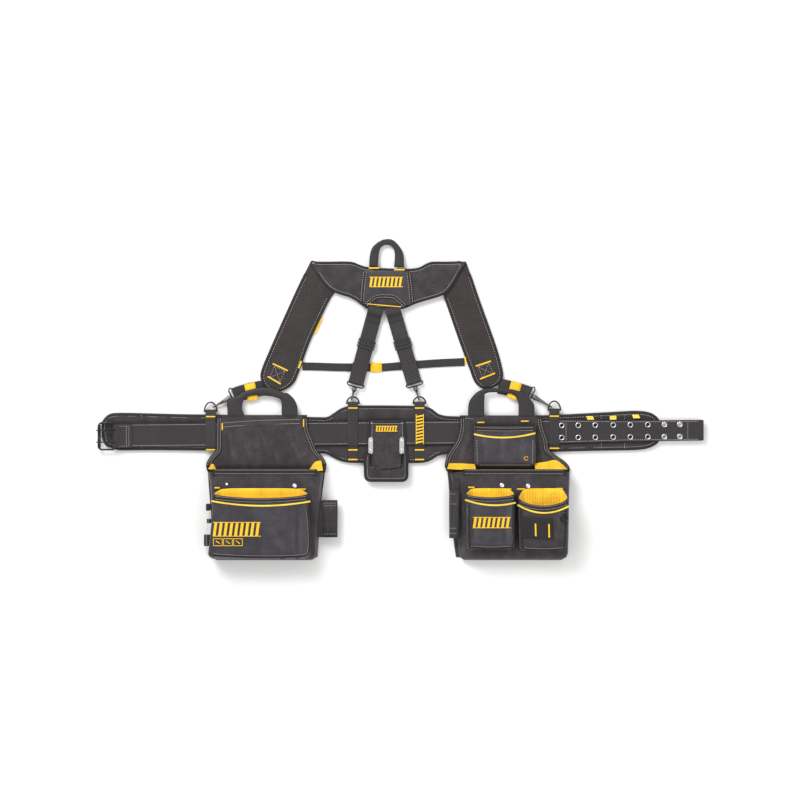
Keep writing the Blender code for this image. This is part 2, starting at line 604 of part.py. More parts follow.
def make_right_pouch():
    """Pouch with two front pockets, a flat top pocket and a hanging ring."""
    rows = [POUCH_TOP - 1.0, -68, -97, -121, -136, -158, -176, -280, -380]
    left = [144, 144, 137, 122, 113, 108, 114, 124, 134]
    right = [338, 343, 353, 356, 372, 402, 407, 405, 400]
    main = main_rows([(112, 408), (119, 407), (127, 406), (134, 404), (139, 396)])
    make_pouch("right", rows, left, right, main, (158.0, 325.0), (30.0, 4.0))
    front_pocket("right_front_pocket_a", main, (-212.0, -246.0), -358.0, (154, 155, 156, 158),
                 (276.5, 276.5, 277, 274), 28.0)
    front_pocket("right_front_pocket_b", main, (-212.0, -256.0), -361.0, (279, 280, 281, 284),
                 (404, 403, 402, 397), 28.0)
    low = PANEL_HIGH + PANEL_THICK + GAP
    pocket("right_top_pocket", [(-56.0, -64.0, 176, 326, low, low + 14.0),
                                (-100.0, -100.0, 176, 326, low, low + 17.0),
                                (-150.0, -150.0, 176, 326, low, low + 16.0),
                                (-163.0, -163.0, 180, 322, low, low + 11.0)], COATED)
    sleeve("right_side_sleeve", (131.0, 33.0), 17.0, 6.0, (-332.0, -217.0), math.radians(47.7), WEBBING)
    base = HANDLE_AXIS_Y
    handle("right_handle", [(163, base), (164, -13), (168, -1), (178, 12), (185, 18), (197, 24), (216, 27),
                            (245, 27), (270, 24), (290, 18), (306, 8), (316, -4), (322, -14), (323, base),
                            (284, base), (284, -10), (280, 4), (268, 13), (247, 16.5), (216, 17.5),
                            (203, 12), (202, -2), (202, base)])
    height = on_front(main, -290.0) + 28.0 * 1.05 + 2.4
    centre, radius = (391.5, -284.0), 8.0
    ring = arc(centre, radius, 0, 360, 12)[:-1]
    wire("clip_ring", [(x, y, height) for x, y in ring], 1.6, BLACK_METAL,
         (centre[0], centre[1] + radius, height))


def make_hammer_holder():
    """Backed pad that slides on the band, with two loop plates and a swinging wire loop."""
    outline = [(-74, -48.6), (12, -48.6), (15, -110), (19.5, -140)] + arc((7.5, -185), 12, 0, -90, 3)
    outline += arc((-74, -185), 12, -90, -180, 3) + [(-86, -140), (-77, -110)]
    pad = slab("hammer_holder", outline, HOLDER_LOW, HOLDER_TOP, CLOTH)
    middle = band_y(-33.0)
    ys = [middle - 33.0, middle - 30.0, middle + 29.4, middle + 31.6]
    flap = blocks("holder_tunnel_guide", [-70.0, 8.0], ys, [FLAP_LOW, FLAP_TOP, HOLDER_LOW + 1.0],
                  lambda i, j, k: k == 0 or j != 1, CLOTH)
    combine(pad, flap, "UNION")
    low = HOLDER_TOP + GAP
    for name, x in (("left", -70.2), ("right", 4.2)):
        plate = arc((x, -95.5), 5.4, 180, 0, 5) + arc((x, -125.5), 5.4, 0, -180, 5)
        slab(f"loop_plate_{name}", plate, low, low + 2.0, NICKEL)
    axis_y, axis_z = LOOP_AXIS

    def arm(x, distance):
        return x, axis_y - distance * math.cos(LOOP_ANGLE), axis_z + distance * math.sin(LOOP_ANGLE)

    path = [arm(-76.0, 0.0), arm(-71.5, 0.6), arm(-70.5, 3.0), arm(-70.5, LOOP_ARM - 10.0),
            arm(-68.0, LOOP_ARM - 3.0), arm(-62.0, LOOP_ARM), arm(-33.0, LOOP_ARM + 4.0)]
    path += [arm(-66.0 - x, distance) for x, distance in
             ((-62.0, LOOP_ARM), (-68.0, LOOP_ARM - 3.0), (-70.5, LOOP_ARM - 10.0), (-70.5, 3.0),
              (-71.5, 0.6), (-76.0, 0.0))]
    wire("hammer_loop", path, LOOP_WIRE, BLACK_METAL, (-33.0, axis_y, axis_z), closed=False)


clear_scene()
make_belt()
make_buckle()
make_rings()
make_back_straps()
make_front_straps()
make_yoke()
make_chest_strap()
make_left_pouch()
make_right_pouch()
make_hammer_holder()
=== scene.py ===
"""Looks of a padded carpenter's tool belt with suspenders, laid flat on a table.

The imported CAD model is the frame.  Every soft piece is replaced here by a sewn one, and every wire by a
smooth one.  Lengths are in millimetres until a mesh is written.
"""
import math

import bpy
import numpy as np
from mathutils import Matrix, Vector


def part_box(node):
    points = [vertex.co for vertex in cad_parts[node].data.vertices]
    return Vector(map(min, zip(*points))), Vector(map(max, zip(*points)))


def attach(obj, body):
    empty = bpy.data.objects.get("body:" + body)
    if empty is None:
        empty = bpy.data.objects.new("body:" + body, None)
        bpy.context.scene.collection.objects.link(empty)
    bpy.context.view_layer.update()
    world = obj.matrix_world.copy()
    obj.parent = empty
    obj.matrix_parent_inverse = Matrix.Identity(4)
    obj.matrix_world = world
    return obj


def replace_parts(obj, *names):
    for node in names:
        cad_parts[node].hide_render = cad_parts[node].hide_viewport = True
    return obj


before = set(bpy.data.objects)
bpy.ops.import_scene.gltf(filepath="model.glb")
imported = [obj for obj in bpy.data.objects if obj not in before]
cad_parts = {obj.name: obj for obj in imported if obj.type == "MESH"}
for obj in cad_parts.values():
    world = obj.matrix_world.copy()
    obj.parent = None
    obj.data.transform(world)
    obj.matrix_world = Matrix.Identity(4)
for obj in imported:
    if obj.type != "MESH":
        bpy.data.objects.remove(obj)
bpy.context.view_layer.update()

MM = 0.001
UP = np.array([0.0, 0.0, 1.0])

# Camera: straight above, far enough for a flat perspective
CAMERA_HEIGHT = 12.0
SENSOR = 36.0
VIEW_WIDTH = 1.92              # metres across the frame
VIEW_CENTRE = (0.0, -0.0012)

# Belt
PAD_TOP = 10.0
BAND_LOW, BAND_TOP = 11.1, 13.6
BAND_START, BAND_END = -682.0, 728.0
BAND_HALF, TONGUE_HALF = 28.0, 25.0
BAND_Y_START, BAND_Y_END = -86.4, -73.6
BUCKLE_Y, BUCKLE_Z = -88.0, 16.5
BUCKLE_BAR_X, ROLLER_X = -684.0, -721.0

# Rings, hooks and straps
RING_Z, RING_WIRE, RING_HALF = 9.5, 1.8, 14.7
TAB_WIDTH, TAB_THICK = 25.0, 1.4
STRAP_WIDTH, STRAP_THICK = 37.0, 1.4
EYE_WIRE = 1.5

# Pouches
PANEL_HIGH, PANEL_LOW, PANEL_THICK = 13.9, 0.4, 3.0
HOLDER_LOW, HOLDER_TOP = 13.9, 18.4
LOOP_AXIS = (-131.0, 23.8)
LOOP_ARM, LOOP_ANGLE, LOOP_WIRE = 52.0, math.radians(50.0), 2.5


# ---------------------------------------------------------------------------------------------------
# Camera, table and light
# ---------------------------------------------------------------------------------------------------

camera_data = bpy.data.cameras.new("camera")
camera_data.sensor_width = SENSOR
camera_data.lens = SENSOR * CAMERA_HEIGHT / VIEW_WIDTH
camera_data.clip_end = 40.0
camera = bpy.data.objects.new("camera", camera_data)
camera.location = (*VIEW_CENTRE, CAMERA_HEIGHT)
bpy.context.scene.collection.objects.link(camera)
bpy.context.scene.camera = camera
bpy.context.scene.view_settings.view_transform = "Standard"


def linear(code):
    """Linear RGBA of an sRGB hex colour."""
    values = np.array([int(code[i:i + 2], 16) for i in (1, 3, 5)]) / 255.0
    values = np.where(values <= 0.04045, values / 12.92, ((values + 0.055) / 1.055) ** 2.4)
    return (*values.tolist(), 1.0)


def add(tree, kind, inputs=(), **settings):
    """Adds a node.  An input that is a socket is linked, and any other value is set on the socket."""
    made = tree.nodes.new(kind)
    for key, value in settings.items():
        setattr(made, key, value)
    for key, value in dict(inputs).items():
        if isinstance(value, bpy.types.NodeSocket):
            tree.links.new(value, made.inputs[key])
        else:
            made.inputs[key].default_value = value
    return made


def light(name, size, power, place, target):
    """A square soft box that faces a target."""
    data = bpy.data.lights.new(name, "AREA")
    data.size, data.energy = size, power
    lamp = bpy.data.objects.new(name, data)
    lamp.location = place
    aim = np.array(target, dtype=float) - np.array(place, dtype=float)
    sideways = math.hypot(aim[0], aim[1])
    lamp.rotation_euler = (math.atan2(sideways, -aim[2]), 0.0, math.atan2(aim[0], -aim[1]) + math.pi)
    bpy.context.scene.collection.objects.link(lamp)


light("key_soft_box", 1.8, 105.0, (-1.5, 2.2, 2.6), (0.0, 0.0, 0.0))
light("fill_soft_box", 3.0, 40.0, (2.1, -1.4, 2.9), (0.0, 0.0, 0.0))
world = bpy.data.worlds.new("studio")
world.use_nodes = True
world.node_tree.nodes["Background"].inputs["Color"].default_value = (1.0, 1.0, 1.0, 1.0)
world.node_tree.nodes["Background"].inputs["Strength"].default_value = 0.66
bpy.context.scene.world = world


# ---------------------------------------------------------------------------------------------------
# Materials
# ---------------------------------------------------------------------------------------------------

# A wave texture repeats every 2 pi / 20 / scale metres.  Yarns then lie 1.26 pitches apart, and ribs two rib
# widths, a raised one and a gap.
WAVE_PER_METRE, RIB_PER_METRE = 250.0, 159.0


def material_start(name):
    """A new material, its node tree and its shader."""
    made = bpy.data.materials.new(name)
    made.use_nodes = True
    return made, made.node_tree, made.node_tree.nodes["Principled BSDF"]


def woven(name, thread, light_thread, pitch, roughness, sheen, depth=0.35, heather=0.5, mottle=0.35):
    """Plain or basket weave of spun yarn.  Two crossed waves on Object coordinates give the yarns, and
    their product is high where both lie on top.  A fine noise mixes in the paler filaments, a coarse one
    gives the mottle, and the fold attribute paints light on the ridges and shade in the valleys.  pitch is
    the yarn spacing in mm."""
    made, tree, shader = material_start(name)
    place = add(tree, "ShaderNodeTexCoord").outputs["Object"]
    waves = [add(tree, "ShaderNodeTexWave", {"Vector": place, "Scale": WAVE_PER_METRE / pitch,
                                             "Distortion": 0.6, "Detail": 1.0, "Detail Scale": 2.0},
                 wave_type="BANDS", bands_direction=axis).outputs["Fac"] for axis in ("X", "Y")]
    weave = add(tree, "ShaderNodeMath", {0: waves[0], 1: waves[1]}, operation="MULTIPLY").outputs[0]
    fibre = add(tree, "ShaderNodeTexNoise", {"Vector": place, "Scale": 620.0, "Detail": 3.0,
                                             "Roughness": 0.7}).outputs["Fac"]
    cloud = add(tree, "ShaderNodeTexNoise", {"Vector": place, "Scale": 42.0, "Detail": 4.0,
                                             "Roughness": 0.6}).outputs["Fac"]
    speck = add(tree, "ShaderNodeMapRange", {"Value": fibre, "From Min": 0.42, "From Max": 0.72,
                                             "To Min": 0.0, "To Max": heather}).outputs[0]
    tint = add(tree, "ShaderNodeMix", {"Factor": speck, 6: linear(thread), 7: linear(light_thread)},
               data_type="RGBA").outputs[2]
    shade = add(tree, "ShaderNodeMapRange", {"Value": cloud, "From Min": 0.3, "From Max": 0.7,
                                             "To Min": 1.0 - mottle, "To Max": 1.0 + mottle}).outputs[0]
    deep = add(tree, "ShaderNodeMapRange", {"Value": weave, "From Min": 0.0, "From Max": 0.7,
                                            "To Min": 0.72, "To Max": 1.15}).outputs[0]
    both = add(tree, "ShaderNodeMath", {0: shade, 1: deep}, operation="MULTIPLY").outputs[0]
    # Painted light and shade: the fold height makes the cloth paler on its ridges and darker in its valleys.
    fold = add(tree, "ShaderNodeAttribute", attribute_name="fold").outputs["Fac"]
    painted_fold_shade = add(tree, "ShaderNodeMapRange", {"Value": fold, "From Min": -3.0, "From Max": 3.0,
                                              "To Min": 0.5, "To Max": 1.5}).outputs[0]
    both = add(tree, "ShaderNodeMath", {0: both, 1: painted_fold_shade}, operation="MULTIPLY").outputs[0]
    bump = add(tree, "ShaderNodeBump", {"Height": weave, "Strength": depth, "Distance": pitch * MM * 0.35})
    soft = add(tree, "ShaderNodeBump", {"Height": cloud, "Strength": 0.25, "Distance": 0.0015,
                                        "Normal": bump.outputs[0]})
    finish(tree, shader, tint, both, soft, roughness, sheen, 0.6)
    return made


def finish(tree, shader, tint, shade, bump, roughness, sheen, sheen_roughness):
    """Shades a cloth's tint and puts it, the bump and the plain numbers on the shader."""
    colour = add(tree, "ShaderNodeVectorMath", {0: tint, "Scale": shade}, operation="SCALE")
    tree.links.new(colour.outputs[0], shader.inputs["Base Color"])
    tree.links.new(bump.outputs[0], shader.inputs["Normal"])
    shader.inputs["Roughness"].default_value = roughness
    shader.inputs["Sheen Weight"].default_value = sheen
    shader.inputs["Sheen Roughness"].default_value = sheen_roughness


def ribbed(name, thread, light_thread, rib, roughness, sheen, strength=0.5):
    """Narrow-loom webbing, tape or rib knit.  The ribs follow the piece's own UV map, which is in metres
    along and across it: a wave along it gives the picks, rib mm apart, and where a slower wave across it
    is high too the cord lines stand up."""
    made, tree, shader = material_start(name)
    coordinates = add(tree, "ShaderNodeTexCoord")
    along, place = coordinates.outputs["UV"], coordinates.outputs["Object"]
    pick, line = (add(tree, "ShaderNodeTexWave", {"Vector": along, "Scale": RIB_PER_METRE / spacing,
                                                  "Distortion": bend, "Detail": 1.0}, wave_type="BANDS",
                      bands_direction=axis).outputs["Fac"]
                  for spacing, bend, axis in ((rib, 0.4, "X"), (rib * 2.6, 0.3, "Y")))
    fibre = add(tree, "ShaderNodeTexNoise", {"Vector": place, "Scale": 500.0, "Detail": 3.0,
                                             "Roughness": 0.7}).outputs["Fac"]
    cloud = add(tree, "ShaderNodeTexNoise", {"Vector": place, "Scale": 30.0, "Detail": 3.0}).outputs["Fac"]
    height = add(tree, "ShaderNodeMath", {0: pick, 1: line, 2: pick}, operation="MULTIPLY_ADD").outputs[0]
    speck = add(tree, "ShaderNodeMapRange", {"Value": fibre, "From Min": 0.38, "From Max": 0.75,
                                             "To Min": 0.0, "To Max": 0.6}).outputs[0]
    tint = add(tree, "ShaderNodeMix", {"Factor": speck, 6: linear(thread), 7: linear(light_thread)},
               data_type="RGBA").outputs[2]
    deep = add(tree, "ShaderNodeMapRange", {"Value": height, "From Min": 0.2, "From Max": 1.3,
                                            "To Min": 0.88, "To Max": 1.07}).outputs[0]
    shade = add(tree, "ShaderNodeMapRange", {"Value": cloud, "From Min": 0.3, "From Max": 0.7,
                                             "To Min": 0.82, "To Max": 1.18}).outputs[0]
    both = add(tree, "ShaderNodeMath", {0: shade, 1: deep}, operation="MULTIPLY").outputs[0]
    bump = add(tree, "ShaderNodeBump", {"Height": height, "Strength": strength, "Distance": rib * MM * 0.3})
    finish(tree, shader, tint, both, bump, roughness, sheen, 0.5)
    return made


def worn(name, colour, worn_colour, roughness, grain, metallic=1.0, coat=0.0):
    """Plated, drawn, moulded or spun surface.  A noise four grains wide wears the colour and the gloss, and
    one a grain wide gives the orange peel or the drawing marks.  grain is in mm."""
    made, tree, shader = material_start(name)
    place = add(tree, "ShaderNodeTexCoord").outputs["Object"]
    wear = add(tree, "ShaderNodeTexNoise", {"Vector": place, "Scale": 250.0 / grain, "Detail": 5.0,
                                            "Roughness": 0.65}).outputs["Fac"]
    fine = add(tree, "ShaderNodeTexNoise", {"Vector": place, "Scale": 1000.0 / grain, "Detail": 2.0})
    amount = add(tree, "ShaderNodeMapRange", {"Value": wear, "From Min": 0.5, "From Max": 0.74,
                                              "To Min": 0.0, "To Max": 0.8}).outputs[0]
    tint = add(tree, "ShaderNodeMix", {"Factor": amount, 6: linear(colour), 7: linear(worn_colour)},
               data_type="RGBA")
    gloss = add(tree, "ShaderNodeMapRange", {"Value": wear, "From Min": 0.3, "From Max": 0.7,
                                             "To Min": roughness * 0.8, "To Max": roughness * 1.3})
    bump = add(tree, "ShaderNodeBump", {"Height": fine.outputs["Fac"], "Strength": 0.12,
                                        "Distance": grain * MM * 0.1})
    tree.links.new(tint.outputs[2], shader.inputs["Base Color"])
    tree.links.new(gloss.outputs[0], shader.inputs["Roughness"])
    tree.links.new(bump.outputs[0], shader.inputs["Normal"])
    shader.inputs["Metallic"].default_value = metallic
    shader.inputs["Coat Weight"].default_value = coat
    return made


def spacer_mesh():
    """Three-layer air mesh: a Voronoi cell for each knitted hole, 4 mm apart and drawn coarse so that it
    shows, dark in its middle and pale on its rim."""
    made, tree, shader = material_start("spacer_air_mesh")
    place = add(tree, "ShaderNodeTexCoord").outputs["Object"]
    cell = add(tree, "ShaderNodeTexVoronoi", {"Vector": place, "Scale": 250.0, "Randomness": 0.35},
               feature="F1", voronoi_dimensions="2D").outputs["Distance"]
    cloud = add(tree, "ShaderNodeTexNoise", {"Vector": place, "Scale": 38.0, "Detail": 4.0}).outputs["Fac"]
    amount = add(tree, "ShaderNodeMapRange", {"Value": cell, "From Min": 0.1, "From Max": 0.62}).outputs[0]
    tint = add(tree, "ShaderNodeMix", {"Factor": amount, 6: linear("#171315"), 7: linear("#38322f")},
               data_type="RGBA").outputs[2]
    shade = add(tree, "ShaderNodeMapRange", {"Value": cloud, "From Min": 0.3, "From Max": 0.7,
                                             "To Min": 0.8, "To Max": 1.2}).outputs[0]
    bump = add(tree, "ShaderNodeBump", {"Height": amount, "Strength": 0.6, "Distance": 0.001})
    finish(tree, shader, tint, shade, bump, 0.8, 0.15, 0.5)
    return made


# Ballistic polyester: heavy 2 by 2 basket weave, drawn at 3 mm so that the yarns show.  Matt charcoal.
POLYESTER = woven("ballistic_polyester", "#282226", "#564f54", 3.0, 0.8, 0.16, mottle=0.5)
# The pads' cover: the same cloth in a finer, more even weave.
PAD_CLOTH = woven("pad_cover_polyester", "#231e21", "#474145", 2.4, 0.85, 0.14, depth=0.3, mottle=0.45)
# Polyurethane-coated polyester: the coat fills the weave, so it is smoother, bluish and slightly glossy.
COATED = woven("coated_polyester", "#302c33", "#4d4851", 2.2, 0.42, 0.08, depth=0.14, heather=0.4,
               mottle=0.38)
# Spacer mesh on the face of the shoulder pads: black holes in a brownish grey knit.
AIR_MESH = spacer_mesh()
# Polypropylene webbing: hard, close ribs across the width, near black, with a slight shine.
WEBBING = ribbed("polypropylene_webbing", "#1e1a1c", "#3c3639", 2.6, 0.62, 0.08)
# Grosgrain binding tape, softer, finer and darker than the webbing.
BINDING = ribbed("grosgrain_binding", "#151113", "#2c272a", 2.0, 0.75, 0.08, strength=0.35)
# Elastic rib knit in warm yellow, used for linings and keepers.
LINING = ribbed("yellow_elastic", "#f9bf14", "#ffdc3a", 2.4, 0.7, 0.1, strength=0.4)
# Woven damask label, plain yellow and flat.
LABEL = ribbed("woven_label", "#ffd23a", "#ffe576", 1.6, 0.7, 0.2, strength=0.25)
# Piping: woven cover over a cord, the brightest yellow.
PIPING = ribbed("yellow_piping", "#ffd534", "#ffec70", 1.8, 0.7, 0.2, strength=0.3)
# Bonded nylon thread: pale warm grey for seams, drawn 1.35 mm thick so that the stitches show.
GREY_THREAD = worn("bonded_nylon_thread", "#b5aca6", "#8d837d", 0.5, 2.0, metallic=0.0)
# The same thread in yellow, laid close in bar tacks and satin bars.
YELLOW_THREAD = worn("yellow_bar_tack_thread", "#ffd02c", "#f0b41e", 0.5, 2.0, metallic=0.0)
# Black oxide steel wire: near black, worn to grey in places, half gloss.
BLACK_STEEL = worn("black_oxide_steel", "#2b2a2b", "#6a686a", 0.32, 1.6, coat=0.2)
# Nickel plate on steel: bright, slightly brushed.
NICKEL = worn("nickel_plate", "#f0efec", "#bdbbb6", 0.24, 1.4)
# Zinc casting of the hooks, tumbled to a satin grey.
ZINC = worn("tumbled_zinc", "#6f6c6a", "#9a9794", 0.36, 1.6)
# Acetal mouldings: black plastic with a fine spark-eroded texture, almost matt.
ACETAL = worn("moulded_acetal", "#262426", "#3c393b", 0.42, 1.0, metallic=0.0)


# ---------------------------------------------------------------------------------------------------
# Surfaces
# ---------------------------------------------------------------------------------------------------

def squared(wave, power):
    """A sine or cosine raised to a power below one, which squares an ellipse."""
    return np.sign(wave) * np.abs(wave) ** power


def cone_volume(points, faces):
    """Six times the volume between the origin and a fan of triangles on each face."""
    corners = points[faces]
    return sum(np.einsum("ij,ij->i", corners[:, 0], np.cross(corners[:, k], corners[:, k + 1])).sum()
               for k in range(1, faces.shape[1] - 1))


def skin(name, grid, material, body, ends=True, uv=None, lined_from=None, lining=None, folds=None,
         loop=False):
    """Writes one or several grids of points, (pieces, rows, columns, 3), as one smooth mesh.

    The last column joins the first.  ends closes the first and last rows with a middle point, and loop
    joins the last row to the first.  Rows from lined_from on take the lining.  A shape is turned to face
    outwards by its volume.  folds is the height of the cloth's folds in mm, from which its material paints
    light on the ridges and shade in the valleys.
    """
    grid = np.asarray(grid, dtype=float)
    if grid.ndim == 3:
        grid = grid[None]
    pieces, rows, columns = grid.shape[:3]
    here = np.arange(pieces * rows * columns).reshape(pieces, rows, columns)
    if loop:
        here = np.concatenate([here, here[:, :1]], axis=1)
    beside = np.roll(here, -1, axis=2)
    quads = np.stack([here[:, :-1], beside[:, :-1], beside[:, 1:], here[:, 1:]], axis=-1)
    inner = np.zeros(quads.shape[:3], dtype=int)
    if lined_from is not None:
        inner[:, lined_from:] = 1
    quads, inner = quads.reshape(-1, 4), inner.ravel()
    points = grid.reshape(-1, 3)
    triangles = np.zeros((0, 3), dtype=int)
    if ends:
        middles = np.concatenate([grid[:, 0].mean(axis=1), grid[:, -1].mean(axis=1)])
        first = len(points) + np.arange(pieces)[:, None]
        last = first + pieces
        low = np.stack([np.broadcast_to(first, here[:, 0].shape), beside[:, 0], here[:, 0]], axis=-1)
        high = np.stack([np.broadcast_to(last, here[:, -1].shape), here[:, -1], beside[:, -1]], axis=-1)
        triangles = np.concatenate([low.reshape(-1, 3), high.reshape(-1, 3)])
        inner = np.concatenate([inner, np.repeat([0, int(lined_from is not None)], len(triangles) // 2)])
        points = np.concatenate([points, middles])
    if cone_volume(points, quads) + cone_volume(points, triangles) < 0:
        quads, triangles = quads[:, ::-1], triangles[:, ::-1]
    mesh = bpy.data.meshes.new(name)
    mesh.from_pydata((points * MM).tolist(), [], quads.tolist() + triangles.tolist())
    mesh.polygons.foreach_set("use_smooth", np.ones(len(mesh.polygons), dtype=bool))
    mesh.polygons.foreach_set("material_index", inner)
    if uv is not None:
        uv = np.asarray(uv, dtype=float).reshape(-1, 2)
        if ends:
            uv = np.concatenate([uv, np.repeat(uv[[0, -1]], pieces, axis=0)])
        corner = np.empty(len(mesh.loops), dtype=int)
        mesh.loops.foreach_get("vertex_index", corner)
        mesh.uv_layers.new(name="cloth").data.foreach_set("uv", (uv[corner] * MM).ravel())
    # The fold height goes to the cloth's material, which paints light and shade from it.
    if folds is not None:
        relief = (folds - np.median(folds)).ravel()
        relief = np.concatenate([relief, np.zeros(len(points) - len(relief))])
        mesh.attributes.new("fold", "FLOAT", "POINT").data.foreach_set("value", relief)
    mesh.materials.append(material)
    if lining is not None:
        mesh.materials.append(lining)
    mesh.update()
    return place_piece(name, mesh, body)


def place_piece(name, mesh, body):
    """Puts a mesh in the scene as a piece that rides on a body."""
    piece = bpy.data.objects.new(name, mesh)
    bpy.context.scene.collection.objects.link(piece)
    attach(piece, body)
    return piece


def unit(vectors):
    """Vectors of length one."""
    vectors = np.asarray(vectors, dtype=float)
    return vectors / np.maximum(np.linalg.norm(vectors, axis=-1, keepdims=True), 1e-9)


def run_length(path):
    """Distance of each point from the start of a path."""
    steps = np.linalg.norm(np.diff(path, axis=0), axis=1)
    return np.concatenate([[0.0], np.cumsum(steps)])


def curve(points, count, closed=False):
    """Catmull-Rom curve through the points, with count places evenly spaced along it."""
    points = np.asarray(points, dtype=float)
    if closed:
        points = np.concatenate([points[-1:], points, points[:2]])
    else:
        points = np.concatenate([2 * points[:1] - points[1:2], points, 2 * points[-1:] - points[-2:-1]])
    a, b, c, d = points[:-3], points[1:-2], points[2:-1], points[3:]
    t = np.linspace(0.0, 1.0, 16, endpoint=False)[None, :, None]
    a, b, c, d = (p[:, None] for p in (a, b, c, d))
    fine = 0.5 * (2 * b + (c - a) * t + (2 * a - 5 * b + 4 * c - d) * t ** 2
                  + (3 * b - a - 3 * c + d) * t ** 3)
    fine = np.concatenate([fine.reshape(-1, points.shape[1]), c[-1]])
    along = run_length(fine)
    spots = np.linspace(0.0, along[-1], count + 1)[:-1] if closed else np.linspace(0.0, along[-1], count)
    return np.stack([np.interp(spots, along, fine[:, k]) for k in range(fine.shape[1])], axis=1)


def resample(path, step):
    """The same path with places about one step apart."""
    along = run_length(path)
    spots = np.linspace(0.0, along[-1], max(int(along[-1] / step), 2))
    return np.stack([np.interp(spots, along, path[:, k]) for k in range(path.shape[1])], axis=1)


def headings(path, closed=False):
    """Direction of travel at each point."""
    if closed:
        return unit(np.roll(path, -1, axis=0) - np.roll(path, 1, axis=0))
    return unit(np.gradient(path, axis=0))


def flat(path, height):
    """Points on the ground plan lifted to a height, or to one height each."""
    path = np.asarray(path, dtype=float)
    return np.column_stack([path[:, 0], path[:, 1], np.broadcast_to(height, len(path))])


def strap(name, path, across, width, thick, material, body, sides=20, hold=0.3):
    """Webbing: a rounded, flattened section carried along a path with its width along across.  The
    section is cos and sin raised to a small power, which squares the ellipse."""
    path = np.asarray(path, dtype=float)
    across = unit(np.broadcast_to(across, path.shape))
    upright = unit(np.cross(headings(path), across))
    angle = np.linspace(0.0, 2 * math.pi, sides, endpoint=False) + math.pi / 2
    wide, high = squared(np.cos(angle), hold), squared(np.sin(angle), hold * 2)
    half = np.broadcast_to(np.asarray(width, dtype=float) / 2, len(path))[:, None]
    grid = (path[:, None] + across[:, None] * (half * wide)[..., None]
            + upright[:, None] * (high * thick / 2)[None, :, None])
    uv = np.stack([np.broadcast_to(run_length(path)[:, None], grid.shape[:2]), half * wide], axis=-1)
    return skin(name, grid, material, body, uv=uv)


def tube(name, path, radius, material, body, closed=False, sides=14, reference=UP, tall=None):
    """Round or oval section carried along a path.  radius is the half width across the reference, and
    tall the half height along it; both may change along the path."""
    path = np.asarray(path, dtype=float)
    way = headings(path, closed)
    side = unit(np.cross(way, reference))
    rise = unit(np.cross(side, way))
    wide = np.broadcast_to(radius, len(path))[:, None, None]
    high = wide if tall is None else np.broadcast_to(tall, len(path))[:, None, None]
    angle = np.linspace(0.0, 2 * math.pi, sides, endpoint=False)[None, :, None]
    grid = path[:, None] + side[:, None] * wide * np.cos(angle) + rise[:, None] * high * np.sin(angle)
    around = np.broadcast_to(angle[..., 0] * wide[0, 0], grid.shape[:2])
    uv = np.stack([np.broadcast_to(run_length(path)[:, None], grid.shape[:2]), around], axis=-1)
    return skin(name, grid, material, body, ends=not closed, uv=uv, loop=closed)


def section(across, upright, square):
    """Squared ellipse, |u|^(2/square) + |v|^(2/square) = 1, with its places even along its four sides.  It
    starts in the middle of its lower side."""
    corner = 2 ** (-square / 2)
    u = np.linspace(-corner, corner, across, endpoint=False)
    v = np.linspace(corner, -corner, upright, endpoint=False)
    top, side = ((1 - np.abs(w) ** (2 / square)) ** (square / 2) for w in (u, v))
    start = -(across + upright + across // 2)
    return (np.roll(np.concatenate([u, side, -u, -side]), start),
            np.roll(np.concatenate([top, v, -top, -v]), start))


def pad(name, side_a, side_b, low, thick, material, body, crown=2.0, square=0.45, sides=44, shape=None):
    """Stuffed piece between two side curves of equal count.  Each row's section is a squared ellipse from
    one side to the other, flat below, and crowned above by crown times 1 minus the square of the distance
    from the middle.  The rows draw in to nothing over the last few at both ends.  shape(x, y) adds to the
    upper face."""
    side_a, side_b = np.asarray(side_a, dtype=float), np.asarray(side_b, dtype=float)
    middle, reach = (side_a + side_b) / 2, (side_b - side_a) / 2
    wide, high = section(sides // 2 - 5, 5, square)
    rows = len(side_a)
    from_end = np.minimum(np.arange(rows), np.arange(rows)[::-1]) / 4.0
    ease = np.sqrt(np.clip(1 - (1 - np.clip(from_end, 0.0, 1.0)) ** 2, 0.0, 1.0))[:, None]
    low = np.broadcast_to(low, rows)[:, None]
    spot = middle[:, None] + reach[:, None] * wide[None, :, None]
    upper = np.clip(high / 0.85, 0.0, 1.0)[None] ** 2
    swell = crown * (1 - wide[None] ** 2) * upper
    folds = None if shape is None else shape(spot[..., 0], spot[..., 1]) * upper
    if folds is not None:
        swell = swell + folds
    height = low + thick / 2 + (high[None] * thick / 2 + swell) * ease
    grid = np.concatenate([spot, height[..., None]], axis=-1)
    return skin(name, grid, material, body, folds=folds)


def grains(name, centres, along, length, width, height, material, body):
    """Threads of a seam: each is a grain of rice that lies along its direction, half a sine in both
    half widths, six rows by six columns."""
    centres, along = np.asarray(centres, dtype=float), unit(along)
    side = unit(np.cross(UP, along))
    rise = unit(np.cross(along, side))
    share = np.linspace(0.06, 0.94, 6)
    fat = np.sin(share * math.pi) ** 0.5
    angle = np.linspace(0.0, 2 * math.pi, 6, endpoint=False)
    grid = (centres[:, None, None] + along[:, None, None] * ((share - 0.5) * length)[None, :, None, None]
            + side[:, None, None] * (fat[:, None] * np.cos(angle)[None] * width / 2)[None, ..., None]
            + rise[:, None, None] * (fat[:, None] * np.sin(angle)[None] * height / 2)[None, ..., None])
    return skin(name, grid, material, body)


def stitches(name, paths, body, pitch=5.2, length=4.0, width=1.35, material=None):
    """Rows of lock stitch along paths that lie on the cloth."""
    centres, along = [], []
    for path in paths:
        path = resample(np.asarray(path, dtype=float), pitch)
        centres.append((path[:-1] + path[1:]) / 2)
        along.append(np.diff(path, axis=0))
    return grains(name, np.concatenate(centres), np.concatenate(along), length, width, 0.9,
                  material or GREY_THREAD, body)


